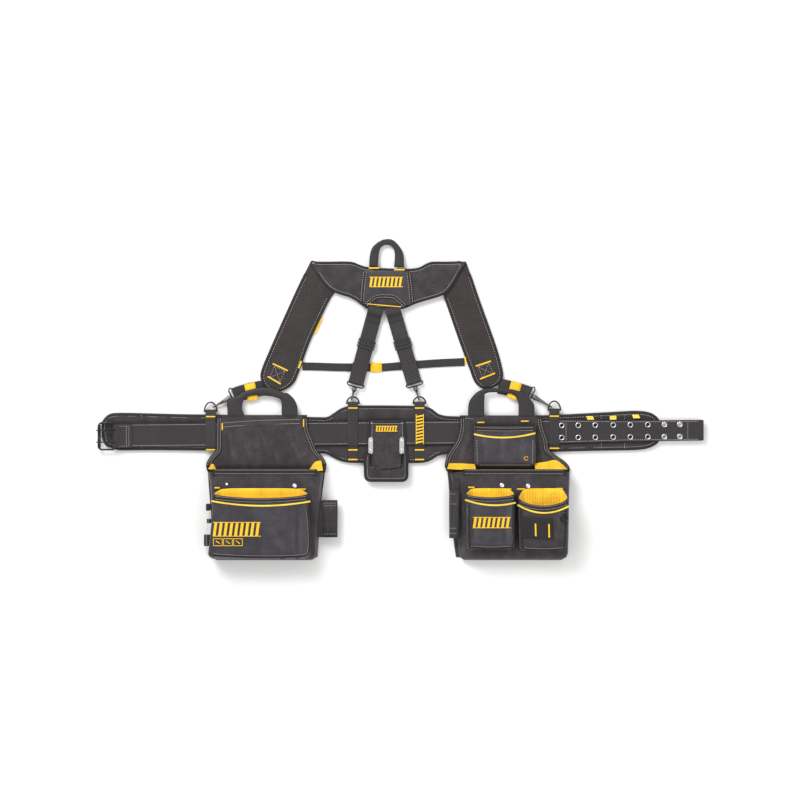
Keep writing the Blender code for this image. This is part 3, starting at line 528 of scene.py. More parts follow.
def tacks(name, bars, body, material=None):
    """Bar tacks: close threads laid across each bar.  A bar is its two ends and its width."""
    centres, along = [], []
    for start, end, width in bars:
        start, end = np.asarray(start, dtype=float), np.asarray(end, dtype=float)
        count = max(int(np.linalg.norm(end - start) / 1.0), 3)
        share = (np.arange(count) + 0.5)[:, None] / count
        way = unit(end - start)
        centres.append(start + (end - start) * share)
        along.append(np.repeat((np.cross(UP, way) + 0.12 * way)[None] * width, count, axis=0))
    centres, along = np.concatenate(centres), np.concatenate(along)
    lengths = np.linalg.norm(along, axis=1)
    share = np.linspace(0.0, 1.0, 7)
    fat = np.maximum(np.sin(share * math.pi), 0.0) ** 0.35
    side = unit(np.cross(UP, unit(along)))
    angle = np.linspace(0.0, 2 * math.pi, 6, endpoint=False)
    ridge = unit(along)[:, None, None] * ((share - 0.5)[None, :] * lengths[:, None])[..., None, None]
    grid = (centres[:, None, None] + ridge
            + side[:, None, None] * (fat[:, None] * np.cos(angle)[None] * 0.72)[None, ..., None]
            + UP * (fat[:, None] * np.sin(angle)[None] * 0.8)[None, ..., None])
    return skin(name, grid, material or YELLOW_THREAD, body)


def turned(name, centres, profile, material, body, sides=28):
    """Turned parts that stand upright at each centre.  profile is a list of (radius, height)."""
    profile = np.asarray(profile, dtype=float)
    angle = np.linspace(0.0, 2 * math.pi, sides, endpoint=False)
    ring = np.stack([profile[:, :1] * np.cos(angle), profile[:, :1] * np.sin(angle),
                     np.broadcast_to(profile[:, 1:], (len(profile), sides))], axis=-1)
    grid = np.asarray(centres, dtype=float)[:, None, None] + ring[None]
    return skin(name, grid, material, body)


def arc(centre, radius, start, end, steps):
    """Points on a circle between two angles in degrees."""
    angles = np.radians(np.linspace(start, end, steps + 1))
    return np.stack([centre[0] + radius * np.cos(angles), centre[1] + radius * np.sin(angles)], axis=1)


def band_y(x):
    """Middle of the load webbing, which lies a little askew on the pad."""
    return np.interp(x, (BAND_START, BAND_END), (BAND_Y_START, BAND_Y_END))


def on(height, points, lift):
    """Points of the ground plan laid on a surface, lifted a little."""
    points = np.asarray(points, dtype=float)
    return np.column_stack([points, height(points[:, 0], points[:, 1]) + lift])


def bind(name, rim, inset, height, half, tall, seam, body, turn=1, sides=16):
    """Binding tape round a closed rim, and the line of its seam.

    Both are the rim moved inwards: the tape by inset at a height, and the seam by the first number of seam
    at the second.  turn is 1 for a rim that runs clockwise and -1 for the other way."""
    way = headings(rim, closed=True)
    inward = turn * np.column_stack([way[:, 1], -way[:, 0]])
    tube(f"{name}_binding", flat(rim + inward * inset, height), half, BINDING, body, closed=True,
         sides=sides, tall=tall)
    line = rim + inward * seam[0]
    return flat(np.concatenate([line, line[:1]]), seam[1])


def make_emblem(name, height, across, along, count, body, lift=1.0):
    """Plain embroidered emblem: slanted satin bars in a row, between two places along X and two along Y."""
    pitch = (across[1] - across[0]) / count
    slant = pitch * 0.35
    bars = []
    for x in across[0] + pitch * (np.arange(count) + 0.4):
        ends = on(height, [(x + slant / 2, along[0]), (x - slant / 2, along[1])], lift)
        bars.append((ends[0], ends[1], pitch * 0.62))
    for y in along:
        ends = on(height, [(across[0], y), (across[1], y)], lift)
        bars.append((ends[0], ends[1], 2.0))
    tacks(name, bars, body)


# ---------------------------------------------------------------------------------------------------
# Table
# ---------------------------------------------------------------------------------------------------

def make_table():
    """Pale matt table top, a wide flat grid just below the belt."""
    span = np.linspace(-8.0, 8.0, 9)
    x, y = np.meshgrid(span, span)
    mesh = bpy.data.meshes.new("table_top")
    index = np.arange(81).reshape(9, 9)
    quads = np.stack([index[:-1, :-1], index[:-1, 1:], index[1:, 1:], index[1:, :-1]], axis=-1)
    mesh.from_pydata(np.column_stack([x.ravel(), y.ravel(), np.full(81, -0.0006)]).tolist(), [],
                     quads.reshape(-1, 4).tolist())
    made, tree, shader = material_start("matt_white_laminate")
    place = add(tree, "ShaderNodeTexCoord").outputs["Object"]
    cloud = add(tree, "ShaderNodeTexNoise", {"Vector": place, "Scale": 1.2, "Detail": 2.0}).outputs["Fac"]
    tint = add(tree, "ShaderNodeMix", {"Factor": cloud, 6: linear("#fbfbfa"), 7: linear("#f7f7f6")},
               data_type="RGBA")
    tree.links.new(tint.outputs[2], shader.inputs["Base Color"])
    shader.inputs["Roughness"].default_value = 0.75
    mesh.materials.append(made)
    table = bpy.data.objects.new("table_top", mesh)
    bpy.context.scene.collection.objects.link(table)


make_table()


# ---------------------------------------------------------------------------------------------------
# Belt
# ---------------------------------------------------------------------------------------------------

BELT_TOP_EDGE = [(-716, -66), (-708, -44), (-690, -34), (-640, -33), (-520, -36), (-350, -38), (-190, -43),
                 (-165, -37), (-143, -23), (-120, -16), (-30, -15), (58, -17), (76, -23), (92, -35),
                 (112, -40), (200, -42), (360, -38), (500, -31), (564, -28), (596, -31), (612, -39),
                 (623, -54), (625, -68)]
BELT_LOW_EDGE = [(-716, -90), (-708, -106), (-690, -117), (-672, -121), (-560, -121), (-350, -124),
                 (-195, -129), (-173, -131), (-155, -142), (-138, -148), (-118, -151), (-30, -152),
                 (56, -151), (74, -145), (88, -136), (103, -132), (118, -130), (200, -130), (400, -124),
                 (497, -122), (552, -121), (583, -119), (606, -112), (622, -99), (625, -84)]


def edge_at(points, x):
    """Height of an edge on the ground plan at each x."""
    fine = curve(points, 900)
    return np.interp(x, fine[:, 0], fine[:, 1])


def make_belt_pad():
    """Padded belt: it swells above and below the band, which presses a groove into it, and has soft
    crosswise puckers where the cover is sewn down."""
    ease = np.linspace(-1.0, 1.0, 420)
    x = -0.5 * (716 - 625) + 0.5 * (716 + 625) * np.sign(ease) * np.abs(np.sin(ease * math.pi / 2)) ** 0.98
    upper = np.column_stack([x, edge_at(BELT_TOP_EDGE, x)])
    lower = np.column_stack([x, edge_at(BELT_LOW_EDGE, x)])

    def swell(px, py):
        away = np.abs(py - band_y(px)) - 31.0
        roll = 2.4 * np.clip(1 - np.exp(-np.clip(away, 0.0, None) / 6.0), 0.0, 1.0)
        pucker = 0.5 * np.sin(px / 9.0 + 1.6 * np.sin(px / 53.0)) * np.clip(away / 10.0, 0.0, 1.0)
        dent = -0.9 * np.exp(-((np.abs(py - band_y(px)) - 27.0) / 5.0) ** 2)
        return roll + pucker * (1 + 0.5 * np.sin(px / 31.0)) + dent

    piece = pad("padded_belt", lower, upper, 0.0, PAD_TOP - 0.6, PAD_CLOTH, "belt", crown=0.0, square=0.5,
                sides=96, shape=swell)
    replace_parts(piece, "belt_pad")
    rim = np.concatenate([curve(BELT_TOP_EDGE, 420), curve(BELT_LOW_EDGE, 420)[::-1]])
    rim = curve(rim[::6], 900, closed=True)
    seam = bind("belt", rim, 3.6, 5.2, 4.4, 5.6, (7.2, 10.4), "belt")
    stitches("belt_binding_stitches", [seam], "belt", pitch=6.0)
    seams = [flat([(seam_x, y0), (seam_x + 0.5, y1)], 11.0) for seam_x in (-620.0, 482.4, 538.3)
             for y0, y1 in ((-36.0, -48.0), (-104.0, -118.0))]
    stitches("belt_cross_seams", seams, "belt", pitch=3.4, length=2.6)


EYELET_X = [387.6, 427.2, 468.0, 511.2, 552.0, 594.0, 633.6, 670.8]
EYELET_RISE = 14.6


def make_load_band():
    """Webbing that carries the load, with pairs of eyelets at its tongue end, where the buckle's prongs
    go through.  The grid's squares inside an eyelet are left out and the ring covers the edge."""
    x = np.concatenate([np.arange(BAND_START, 400.0, 6.0), np.arange(400.0, BAND_END, 1.6), [BAND_END]])
    half = np.interp(x, (400.0, 540.0), (BAND_HALF, TONGUE_HALF))
    corner = np.clip(x - (BAND_END - 2.0), 0.0, 2.0)
    half = half - (2.0 - np.sqrt(np.clip(4.0 - corner ** 2, 0.0, None)))
    share = np.linspace(-1.0, 1.0, 34)
    y = band_y(x)[:, None] + half[:, None] * share[None]
    wave = 0.25 * np.sin(x / 37.0)[:, None] * np.ones_like(share)[None]
    middle = (BAND_LOW + BAND_TOP) / 2
    grid = np.stack([np.broadcast_to(x[:, None], y.shape), y, middle + wave], axis=-1)
    rows, columns = grid.shape[:2]
    index = np.arange(rows * columns).reshape(rows, columns)
    quads = np.stack([index[:-1, :-1], index[1:, :-1], index[1:, 1:], index[:-1, 1:]], axis=-1).reshape(-1, 4)
    points = grid.reshape(-1, 3)
    centre = points[quads].mean(axis=1)
    holes = np.array([(ex, band_y(ex) + side * EYELET_RISE) for ex in EYELET_X for side in (-1, 1)])
    away = np.linalg.norm(centre[:, None, :2] - holes[None], axis=-1).min(axis=1)
    quads = quads[away > 4.9]
    used, quads = np.unique(quads, return_inverse=True)
    mesh = bpy.data.meshes.new("load_band")
    mesh.from_pydata((points[used] * MM).tolist(), [], quads.reshape(-1, 4).tolist())
    corner = np.empty(len(mesh.loops), dtype=int)
    mesh.loops.foreach_get("vertex_index", corner)
    mesh.uv_layers.new(name="cloth").data.foreach_set("uv", (points[used][corner][:, :2] * MM).ravel())
    mesh.materials.append(WEBBING)
    band = bpy.data.objects.new("load_band", mesh)
    bpy.context.scene.collection.objects.link(band)
    wall = band.modifiers.new("webbing_thickness", "SOLIDIFY")
    wall.thickness, wall.offset = (BAND_TOP - BAND_LOW) * MM, 0.0
    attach(band, "belt")
    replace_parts(band, "belt_band")
    edge = [flat(np.column_stack([x, band_y(x) + side * (half - 3.4)]), BAND_TOP + 0.1)
            for side in (-1, 1)]
    stitches("load_band_stitches", [path[4:-8] for path in edge], "belt")
    ring = [(4.4, -1.5), (6.6, -1.5), (6.9, -1.0), (6.4, -0.6), (5.4, 0.4), (6.3, 2.9), (6.7, 3.2),
            (6.2, 3.8), (5.4, 3.9), (4.7, 3.5), (4.4, 2.4), (4.4, -1.0)]
    turns = np.array(ring)
    angle = np.linspace(0.0, 2 * math.pi, 28, endpoint=False)
    shape = np.stack([turns[:, :1] * np.cos(angle), turns[:, :1] * np.sin(angle),
                      np.broadcast_to(turns[:, 1:], (len(turns), 28))], axis=-1)
    shape = np.concatenate([shape, shape[:1]])
    centres = np.column_stack([holes, np.full(len(holes), BAND_LOW + 0.2)])
    skin("tongue_eyelets", centres[:, None, None] + shape[None], NICKEL, "belt", ends=False)
    rows_of_thread = []
    for cross_x in (690.0, 398.0):
        low, high = band_y(cross_x) - TONGUE_HALF + 3, band_y(cross_x) + TONGUE_HALF - 3
        rows_of_thread.append([(cross_x, low, BAND_TOP + 0.3), (cross_x, high, BAND_TOP + 0.3)])
    stitches("tongue_cross_stitches", rows_of_thread, "belt", pitch=3.6, length=2.8)
    for number, (tag_x, tag_y, lean) in enumerate(((456.0, -44.5, -0.42), (511.0, -44.0, -0.06),
                                                   (566.0, -41.0, -0.45)), start=1):
        path = curve([(tag_x - 8.0, tag_y, 12.2), (tag_x - 3.0, tag_y + 0.4, 12.7),
                      (tag_x + 3.0, tag_y + 0.4, 12.7), (tag_x + 8.0, tag_y + 0.6, 12.2)], 12)
        strap(f"size_tag_{number}", path, (lean, 1.0, 0.0), 9.4, 0.7, LABEL, "belt")


def make_buckle():
    """Two-prong roller buckle in bent steel wire, and the doubled webbing chape that holds it."""
    turn = 2.2 + 0.4 + 0.8
    around = arc((BUCKLE_BAR_X, BUCKLE_Z), turn, -90, -270, 10)
    profile = np.concatenate([[(-652, 13.0), (-668, 12.4), (-678, BUCKLE_Z - turn)], around,
                              [(-678, BUCKLE_Z + turn), (-668, 16.4), (-652, 15.2), (-641, 14.4)]])
    line = curve(np.column_stack([profile[:, 0], np.full(len(profile), BUCKLE_Y), profile[:, 1]]), 70)
    chape = strap("buckle_chape_webbing", line, (0.0, 1.0, 0.0), 2 * BAND_HALF, 1.6, WEBBING, "belt",
                  sides=28)
    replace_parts(chape, "buckle_chape")
    rows = [[(-656.0, BUCKLE_Y - 25, 16.4), (-656.0, BUCKLE_Y + 25, 16.4)],
            [(-650.0, BUCKLE_Y - 25, 16.2), (-650.0, BUCKLE_Y + 25, 16.2)],
            [(-652.0, BUCKLE_Y - 24, 16.4), (-674.0, BUCKLE_Y - 24, 18.4)],
            [(-652.0, BUCKLE_Y + 24, 16.4), (-674.0, BUCKLE_Y + 24, 18.4)]]
    stitches("buckle_chape_stitches", rows, "belt", pitch=4.0, length=3.0)
    top, bottom, corner = BUCKLE_Y + 32.0, BUCKLE_Y - 32.0, 6.0
    loop = np.concatenate([arc((BUCKLE_BAR_X - corner, top - corner), corner, 0, 90, 6),
                           arc((ROLLER_X + corner, top - corner), corner, 90, 180, 6),
                           arc((ROLLER_X + corner, bottom + corner), corner, 180, 270, 6),
                           arc((BUCKLE_BAR_X - corner, bottom + corner), corner, 270, 360, 6)])
    wire = tube("buckle_wire_frame", flat(curve(loop, 160, closed=True), BUCKLE_Z), 2.2, BLACK_STEEL,
                "buckle_frame", closed=True)
    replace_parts(wire, "buckle_frame")
    bore = 2.9
    around = np.linspace(0.0, 2 * math.pi, 30, endpoint=False)
    outline = np.array([(bore, -27.2), (3.7, -27.5), (4.0, -27.0), (3.95, -9.0), (3.95, 9.0), (4.0, 27.0),
                        (3.7, 27.5), (bore, 27.2), (bore, 0.0), (bore, -27.2)])
    grid = np.stack([ROLLER_X + outline[:, :1] * np.cos(around), np.broadcast_to(BUCKLE_Y + outline[:, 1:],
                     (len(outline), 30)), BUCKLE_Z + outline[:, :1] * np.sin(around)], axis=-1)
    roller = skin("buckle_roller_tube", grid, BLACK_STEEL, "buckle_roller", ends=False)
    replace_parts(roller, "buckle_roller")
    reach, rest = 2.2 + 0.4 + 1.7, BUCKLE_Z + 4.0 + 1.7 + 0.4
    for number, side in ((1, 1), (2, -1)):
        bend = arc((BUCKLE_BAR_X, BUCKLE_Z), reach, -150, 100, 16)
        path = np.concatenate([bend, [(-700.0, rest - 0.4), (ROLLER_X, rest), (ROLLER_X - 7.0, rest - 0.8)]])
        path = np.column_stack([path[:, 0], np.full(len(path), BUCKLE_Y + side * 14.0), path[:, 1]])
        fine = curve(path, 70)
        prong = tube(f"buckle_prong_wire_{number}", fine, np.interp(np.linspace(0, 1, 70), (0, 0.93, 1),
                     (1.7, 1.7, 1.1)), BLACK_STEEL, f"prong_{number}", reference=np.array([0.0, 1.0, 0.0]))
        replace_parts(prong, f"buckle_prong_{number}")


make_belt_pad()
make_load_band()
make_buckle()


# ---------------------------------------------------------------------------------------------------
# Rings, hooks and suspender straps
# ---------------------------------------------------------------------------------------------------

# name: middle of the ring, its bar along Y, rise of its arc, lower end of the tab
RINGS = {"front_left": (-454.0, -27.6, 21.0, -120.0), "back_left": (-112.8, -8.6, 15.0, -149.0),
         "back_right": (46.8, -8.6, 15.0, -149.0), "front_right": (370.0, -25.0, 21.0, -117.0)}


def make_ring_tab(name, x, bar, rise, low_end):
    """Webbing tab, sewn over the band and folded round the straight side of its D-ring."""
    turn = RING_WIRE + 0.4 + TAB_THICK / 2
    above, below = band_y(x) + BAND_HALF, band_y(x) - BAND_HALF
    on_pad, on_band = 12.4, BAND_TOP + 0.9
    profile = [(low_end, 11.6), (max(below - 5.0, low_end + 2.0), on_pad), (below + 1.0, on_band),
               (above - 1.0, on_band), (above + 6.0, on_pad), (bar - 9.0, 12.6)]
    profile += [tuple(p) for p in arc((bar, RING_Z), turn, 90, -90, 8)]
    profile += [(bar - 4.5, RING_Z - turn)]
    line = curve([(x, y, z) for y, z in profile], 90)
    tab = strap(f"ring_tab_webbing_{name}", line, (1.0, 0.0, 0.0), TAB_WIDTH, TAB_THICK, WEBBING, "belt")
    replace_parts(tab, f"ring_tab_{name}")
    bow = [(x + RING_HALF * math.cos(angle), bar + rise * math.sin(angle), RING_Z)
           for angle in np.linspace(0.0, math.pi, 14)]
    side = [(x - RING_HALF, bar - 1.0, RING_Z), (x - RING_HALF + 2.6, bar - 0.4, RING_Z), (x, bar, RING_Z),
            (x + RING_HALF - 2.6, bar - 0.4, RING_Z), (x + RING_HALF, bar - 1.0, RING_Z)]
    ring = tube(f"d_ring_wire_{name}", curve(bow[1:-1] + side, 120, closed=True), RING_WIRE, BLACK_STEEL,
                f"ring_{name}", closed=True)
    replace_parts(ring, f"d_ring_{name}")


for ring_name, ring_place in RINGS.items():
    make_ring_tab(ring_name, *ring_place)


def ring_point(name, degrees):
    """A point on a D-ring's bow."""
    x, bar, rise = RINGS[name][:3]
    angle = math.radians(degrees)
    return np.array([x + RING_HALF * math.cos(angle), bar + rise * math.sin(angle)])


def make_link(name, start, end, ring, middle, rise, tail):
    """Strap with its sewn end, wire eye and snap hook between a suspender and a ring.

    The strap's plan is a quadratic Bezier curve past middle.  rise is its heights near its start,
    (distance, height), and tail the length of its return over itself.  In name, # stands for the kind."""
    side_name = name.replace("_#", "")
    start, end, ring = np.array(start), np.array(end), np.array(ring)
    middle = (start + end) / 2 if middle is None else np.array(middle)
    aim = unit(ring - end)
    share = np.linspace(0.0, 1.0, 61)[:, None]
    plan = (1 - share) ** 2 * start + 2 * share * (1 - share) * middle + share ** 2 * end
    total = run_length(plan)[-1]
    turn = EYE_WIRE + 0.35 + STRAP_THICK / 2
    profile = rise + [(total - 30.0, 8.6), (total - 12.0, 8.6), (total - 3.0, RING_Z - turn)]
    profile += [(total + turn * math.cos(a), RING_Z + turn * math.sin(a))
                for a in np.radians(np.linspace(-90, 90, 9))]
    profile += [(total - 3.0, RING_Z + turn), (total - 12.0, 10.5), (total - 30.0, 10.4),
                (total - tail, 10.4)]
    profile = np.array(profile)
    line = curve(np.column_stack([profile, np.zeros(len(profile))]), 150)[:, :2]
    reach = line[:, 0]
    along = run_length(plan)
    x, y = (np.interp(reach, along, plan[:, k]) + np.clip(reach - total, 0.0, None) * aim[k] for k in (0, 1))
    way = np.stack([np.interp(reach, along, headings(plan)[:, k]) for k in (0, 1)], axis=1)
    across = np.column_stack([-way[:, 1], way[:, 0], np.zeros(len(way))])
    path = np.column_stack([x, y, line[:, 1]])
    piece = strap(name.replace("#", "strap") + "_webbing", path, across, STRAP_WIDTH, STRAP_THICK, WEBBING,
                  "belt")
    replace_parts(piece, name.replace("#", "strap"))

    side = np.array([-aim[1], aim[0]])
    half = STRAP_WIDTH / 2 + EYE_WIRE + 0.4

    def ground(distance, sideways, height=RING_Z):
        return (*(end + aim * distance + side * sideways), height)

    corners = [(0.0, 0.0), (0.0, half - 4.0), (1.0, half - 0.6), (4.0, half), (8.0, half - 4.6),
               (8.4, half - 8.0), (8.4, 0.0), (8.4, 8.0 - half), (8.0, 4.6 - half), (4.0, -half),
               (1.0, 0.6 - half), (0.0, 4.0 - half)]
    eye = tube(name.replace("#", "eye") + "_wire", curve([ground(*c) for c in corners], 120, closed=True),
               EYE_WIRE, BLACK_STEEL, "eye_" + side_name, closed=True)
    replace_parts(eye, name.replace("#", "eye"))

    distance = float(np.linalg.norm(ring - end))
    first, bow = 8.0 + EYE_WIRE + 0.35, distance + 1.5
    back = max(bow - 12.0, first + 2.0)
    waist = first + 0.55 * (back - first)
    profile = np.array([(first, 0.6), (first, 4.6), (first + 1.0, 5.6), (first + 3.0, 5.8),
                        (first + 4.0, 4.8), (first + 5.0, 6.2), (first + 8.0, 6.0), (waist, 4.4),
                        (back - 1.0, 3.0), (back, 0.6)])
    angle = np.linspace(0.0, 2 * math.pi, 24, endpoint=False)
    grid = np.array([[ground(d, r * math.cos(a), RING_Z + r * 0.86 * math.sin(a)) for a in angle]
                     for d, r in profile])
    swivel = skin(name.replace("#", "hook") + "_swivel", grid, ZINC, "hook_" + side_name)
    hook = [(back - 2.0, 0.0), (back, 0.0), (bow - 8.0, -1.6), (bow - 5.2, -4.2), (bow - 2.4, -4.9),
            (bow, -4.8), (bow + 3.5, -3.4), (bow + 4.8, 0.0), (bow + 3.5, 3.4), (bow + 0.8, 4.7)]
    hook = curve([ground(d, 0.0, RING_Z + h) for d, h in hook], 60)
    wide = np.interp(np.linspace(0, 1, 60), (0, 0.3, 0.9, 1.0), (2.6, 2.2, 1.9, 1.0))
    piece = tube(name.replace("#", "hook") + "_bow", hook, wide, ZINC, "hook_" + side_name,
                 reference=np.array([side[0], side[1], 0.0]), tall=wide * 1.1)
    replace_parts(piece, name.replace("#", "hook"))
    gate = ((bow - 8.6, 4.6), (bow - 4.0, 4.9), (bow - 0.6, 4.5))
    gate = curve([ground(d, 0.0, RING_Z + h) for d, h in gate], 20)
    piece = strap(name.replace("#", "gate") + "_spring", gate, (side[0], side[1], 0.0), 3.2, 1.2, ZINC,
                  "gate_" + side_name, sides=12)
    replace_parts(piece, name.replace("#", "gate"))


FRONT_RISE = [(0.0, 4.5), (14.0, 7.0), (26.0, 8.6)]
make_link("front_#_left", (-326.0, 28.0), (-396.0, 10.0), ring_point("front_left", 37.0), (-368.0, 21.0),
          FRONT_RISE, 52.0)
make_link("front_#_right", (236.0, 32.0), (309.0, 13.0), ring_point("front_right", 150.0), (274.0, 26.0),
          FRONT_RISE, 52.0)


def make_strap_keeper(side, centre, slope):
    """Elastic keeper round a front strap: a flattened tube, 26 mm long, that hugs the webbing."""
    way = np.array([math.cos(slope), math.sin(slope)])
    cross = np.array([-way[1], way[0]])
    angle = np.linspace(0.0, 2 * math.pi, 48, endpoint=False)
    wide, high = squared(np.cos(angle), 0.35) * 20.6, squared(np.sin(angle), 0.6)
    rows = [(-13.0, 1.5, 0.94), (-13.4, 2.3, 1.0), (-6.0, 2.6, 1.01), (0.0, 2.5, 0.99), (6.0, 2.6, 1.01),
            (13.4, 2.3, 1.0), (13.0, 1.5, 0.94)]
    grid = np.array([np.column_stack([centre[0] + way[0] * d + cross[0] * wide * k,
                                      centre[1] + way[1] * d + cross[1] * wide * k,
                                      10.2 + high * h]) for d, h, k in rows])
    uv = np.stack(np.broadcast_arrays(np.array(rows)[:, :1], np.linspace(0, 90, 48)[None]), axis=-1)
    skin(f"front_keeper_{side}", grid, LINING, "belt", uv=uv)


make_strap_keeper("left", (-356.5, 18.5), math.radians(13.0))
make_strap_keeper("right", (274.0, 21.5), math.radians(-16.0))
BACK_STRAP_TOP_Y = 223.0
for back_name, back_top, back_low, back_ring in (
        ("left", (-57.6, 217.2), (-105.8, 38.8), (-114.6, 6.2)),
        ("right", (-18.0, 217.2), (33.8, 40.0), (43.7, 6.0))):
    slope = unit(np.array(back_low) - np.array(back_top))
    back_start = np.array(back_top) - slope * (BACK_STRAP_TOP_Y - back_top[1]) / -slope[1]
    back_total = np.linalg.norm(np.array(back_low) - back_start)
    make_link(f"back_#_{back_name}", back_start, back_low, back_ring, None,
              [(0.0, 17.1), (17.0, 17.1), (42.0, 8.6)], back_total - 38.0)


# ---------------------------------------------------------------------------------------------------
# Yoke and shoulder pads
# ---------------------------------------------------------------------------------------------------

LEFT_OUTER = [(-214, 332), (-239, 281), (-264, 227), (-312, 119), (-333, 66), (-331, 44), (-322, 30),
              (-300, 21)]
LEFT_INNER = [(-152, 262), (-164, 246), (-176, 226), (-216, 140), (-244, 63), (-254, 42), (-268, 30),
              (-294, 21)]
RIGHT_OUTER = [(158, 332), (174, 286), (192, 234), (230, 128), (246, 68), (244, 48), (232, 36), (211, 26)]
RIGHT_INNER = [(96, 262), (101, 256), (108, 240), (144, 136), (168, 72), (175, 52), (184, 38), (204, 26)]


def make_shoulder_pad(side, outer, inner):
    """Foam shoulder pad under its cover: crowned across, with its edge bound and stitched."""
    a, b = curve(outer, 90), curve(inner, 90)
    piece = pad(f"shoulder_cushion_{side}", a, b, 0.0, 7.4, AIR_MESH, "belt", crown=3.2, square=0.5,
                sides=56, shape=lambda x, y: 0.35 * np.sin(y / 11.0 + x / 30.0))
    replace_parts(piece, f"shoulder_pad_{side}")
    for edge_name, edge, other in (("outer", a, b), ("inner", b, a)):
        inward = unit(other - edge)
        path = edge[8:] + inward[8:] * 3.4
        tube(f"shoulder_binding_{side}_{edge_name}", flat(path, 4.3), 4.2, BINDING, "belt", sides=16,
             tall=4.6)
        seam = edge[9:-2] + inward[9:-2] * 7.4
        stitches(f"shoulder_stitches_{side}_{edge_name}", [flat(seam, 9.0)], "belt", pitch=6.0)


def make_cross_stitch(side, corners):
    """Box and cross of lock stitch between a shoulder pad's two bar tacks."""
    points = flat(np.array(corners, dtype=float), 11.4)
    lines = [[points[i], points[j]] for i, j in ((0, 1), (1, 2), (2, 3), (3, 0), (0, 2), (1, 3))]
    stitches(f"shoulder_cross_stitch_{side}", lines, "belt", pitch=4.4, length=3.2)


for lining_name, lining_path in (("left", [(-188, 196, 3.6), (-196, 178, 3.6), (-205, 158, 3.6)]),):
    strap(f"shoulder_lining_{lining_name}", curve(lining_path, 20), (1.0, 0.4, 0.0), 9.0, 1.2, LINING,
          "belt")
make_cross_stitch("left", [(-301, 80), (-276, 68), (-288, 42), (-312, 53)])
make_cross_stitch("right", [(188, 78), (213, 87), (224, 61), (198, 52)])
make_shoulder_pad("left", LEFT_OUTER, LEFT_INNER)
make_shoulder_pad("right", RIGHT_OUTER, RIGHT_INNER)

YOKE_UPPER = [(-214, 331), (-180, 330), (-120, 330), (-98, 323), (-76, 317), (-30, 314), (20, 313),
              (48, 317), (72, 329), (110, 330), (158, 331)]
YOKE_LOWER = [(-207, 317), (-197, 299), (-185, 281), (-168, 264), (-149, 254), (-120, 245), (-101, 234),
              (-86, 222), (-70, 217), (-30, 217), (2, 217), (19, 222), (43, 232), (96, 248), (115, 260),
              (130, 280), (144, 306), (151, 318)]


def make_yoke():
    """Winged pad across the back that joins the two shoulder pads, with a sewn patch and a hang loop."""
    upper, lower = curve(YOKE_UPPER, 130), curve(YOKE_LOWER, 130)
    piece = pad("yoke_cushion", lower, upper, 8.5, 7.0, POLYESTER, "belt", crown=1.6, square=0.5, sides=64,
                shape=lambda x, y: 0.5 * np.sin((x + 28) / 13.0) * np.sin(y / 19.0))
    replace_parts(piece, "yoke_pad")
    rim = curve(np.concatenate([upper[::5], lower[::-5]]), 420, closed=True)
    rows = [bind("yoke", rim, 3.0, 12.2, 3.6, 4.2, (6.6, 16.6), "belt")]
    patch_low, patch_high = [(-93, 230), (-78, 228), (-58, 245), (-12, 244), (3, 226), (29, 228)], [
        (-86, 309), (-66, 309.5), (-40, 309.5), (-18, 309), (2, 308.5), (22, 307)]
    a, b = curve(patch_low, 60), curve(patch_high, 60)
    patch = pad("yoke_patch_cloth", a, b, 16.2, 1.6, COATED, "belt", crown=1.4, square=0.35, sides=48)
    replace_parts(patch, "yoke_patch")
    left_side = [(-91, 234), (-89, 262), (-84, 306)]
    right_side = [(27, 232), (25, 262), (20, 304)]
    for number, (line, lean) in enumerate(((left_side, 1), (right_side, -1)), start=1):
        path = curve(line, 40)
        strap(f"yoke_patch_tape_{number}", flat(path, 18.6), (1.0, 0.0, 0.0), 10.0, 1.2, BINDING, "belt")
        rows += [flat(path + [lean * 3.4, 0.0], 19.4), flat(path - [lean * 3.0, 0.0], 19.4)]
    arch = curve([(-82, 226), (-76, 232), (-66, 241), (-54, 247), (-34, 248), (-14, 246), (-4, 238),
                  (4, 231), (12, 224)], 60)
    strap("yoke_arch_tape", flat(arch, 19.0),
          np.column_stack([-headings(arch)[:, 1], headings(arch)[:, 0], np.zeros(60)]), 10.0, 1.2, BINDING,
          "belt")
    rows += [flat(arch + np.column_stack([-headings(arch)[:, 1], headings(arch)[:, 0]]) * s, 19.8)
             for s in (3.2, -3.0)]
    stitches("yoke_stitches", rows, "belt", pitch=5.0)
    make_emblem("yoke_emblem", lambda px, py: 18.6 + 0.0 * px, (-73.0, 7.0), (293.0, 270.0), 8, "belt")
    outer = [(-74, 317), (-73.5, 335), (-71, 352), (-66, 365), (-57, 374), (-46, 381), (-36, 384.2),
             (-22, 384.2), (-12, 379), (-2, 368), (6, 355), (9.2, 340), (9.6, 317)]
    inner = [(-52.8, 317), (-52, 335), (-50.5, 350), (-48, 360), (-44, 366), (-38, 369.5), (-33, 370.5),
             (-27, 370), (-21, 367.5), (-16, 362), (-13, 353), (-12.5, 340), (-14.4, 317)]
    a, b = curve(outer, 80), curve(inner, 80)
    loop = pad("hang_loop_webbing", a, b, 9.4, 2.8, WEBBING, "belt", crown=0.5,
               square=0.3, sides=20)
    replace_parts(loop, "hang_loop")


make_yoke()


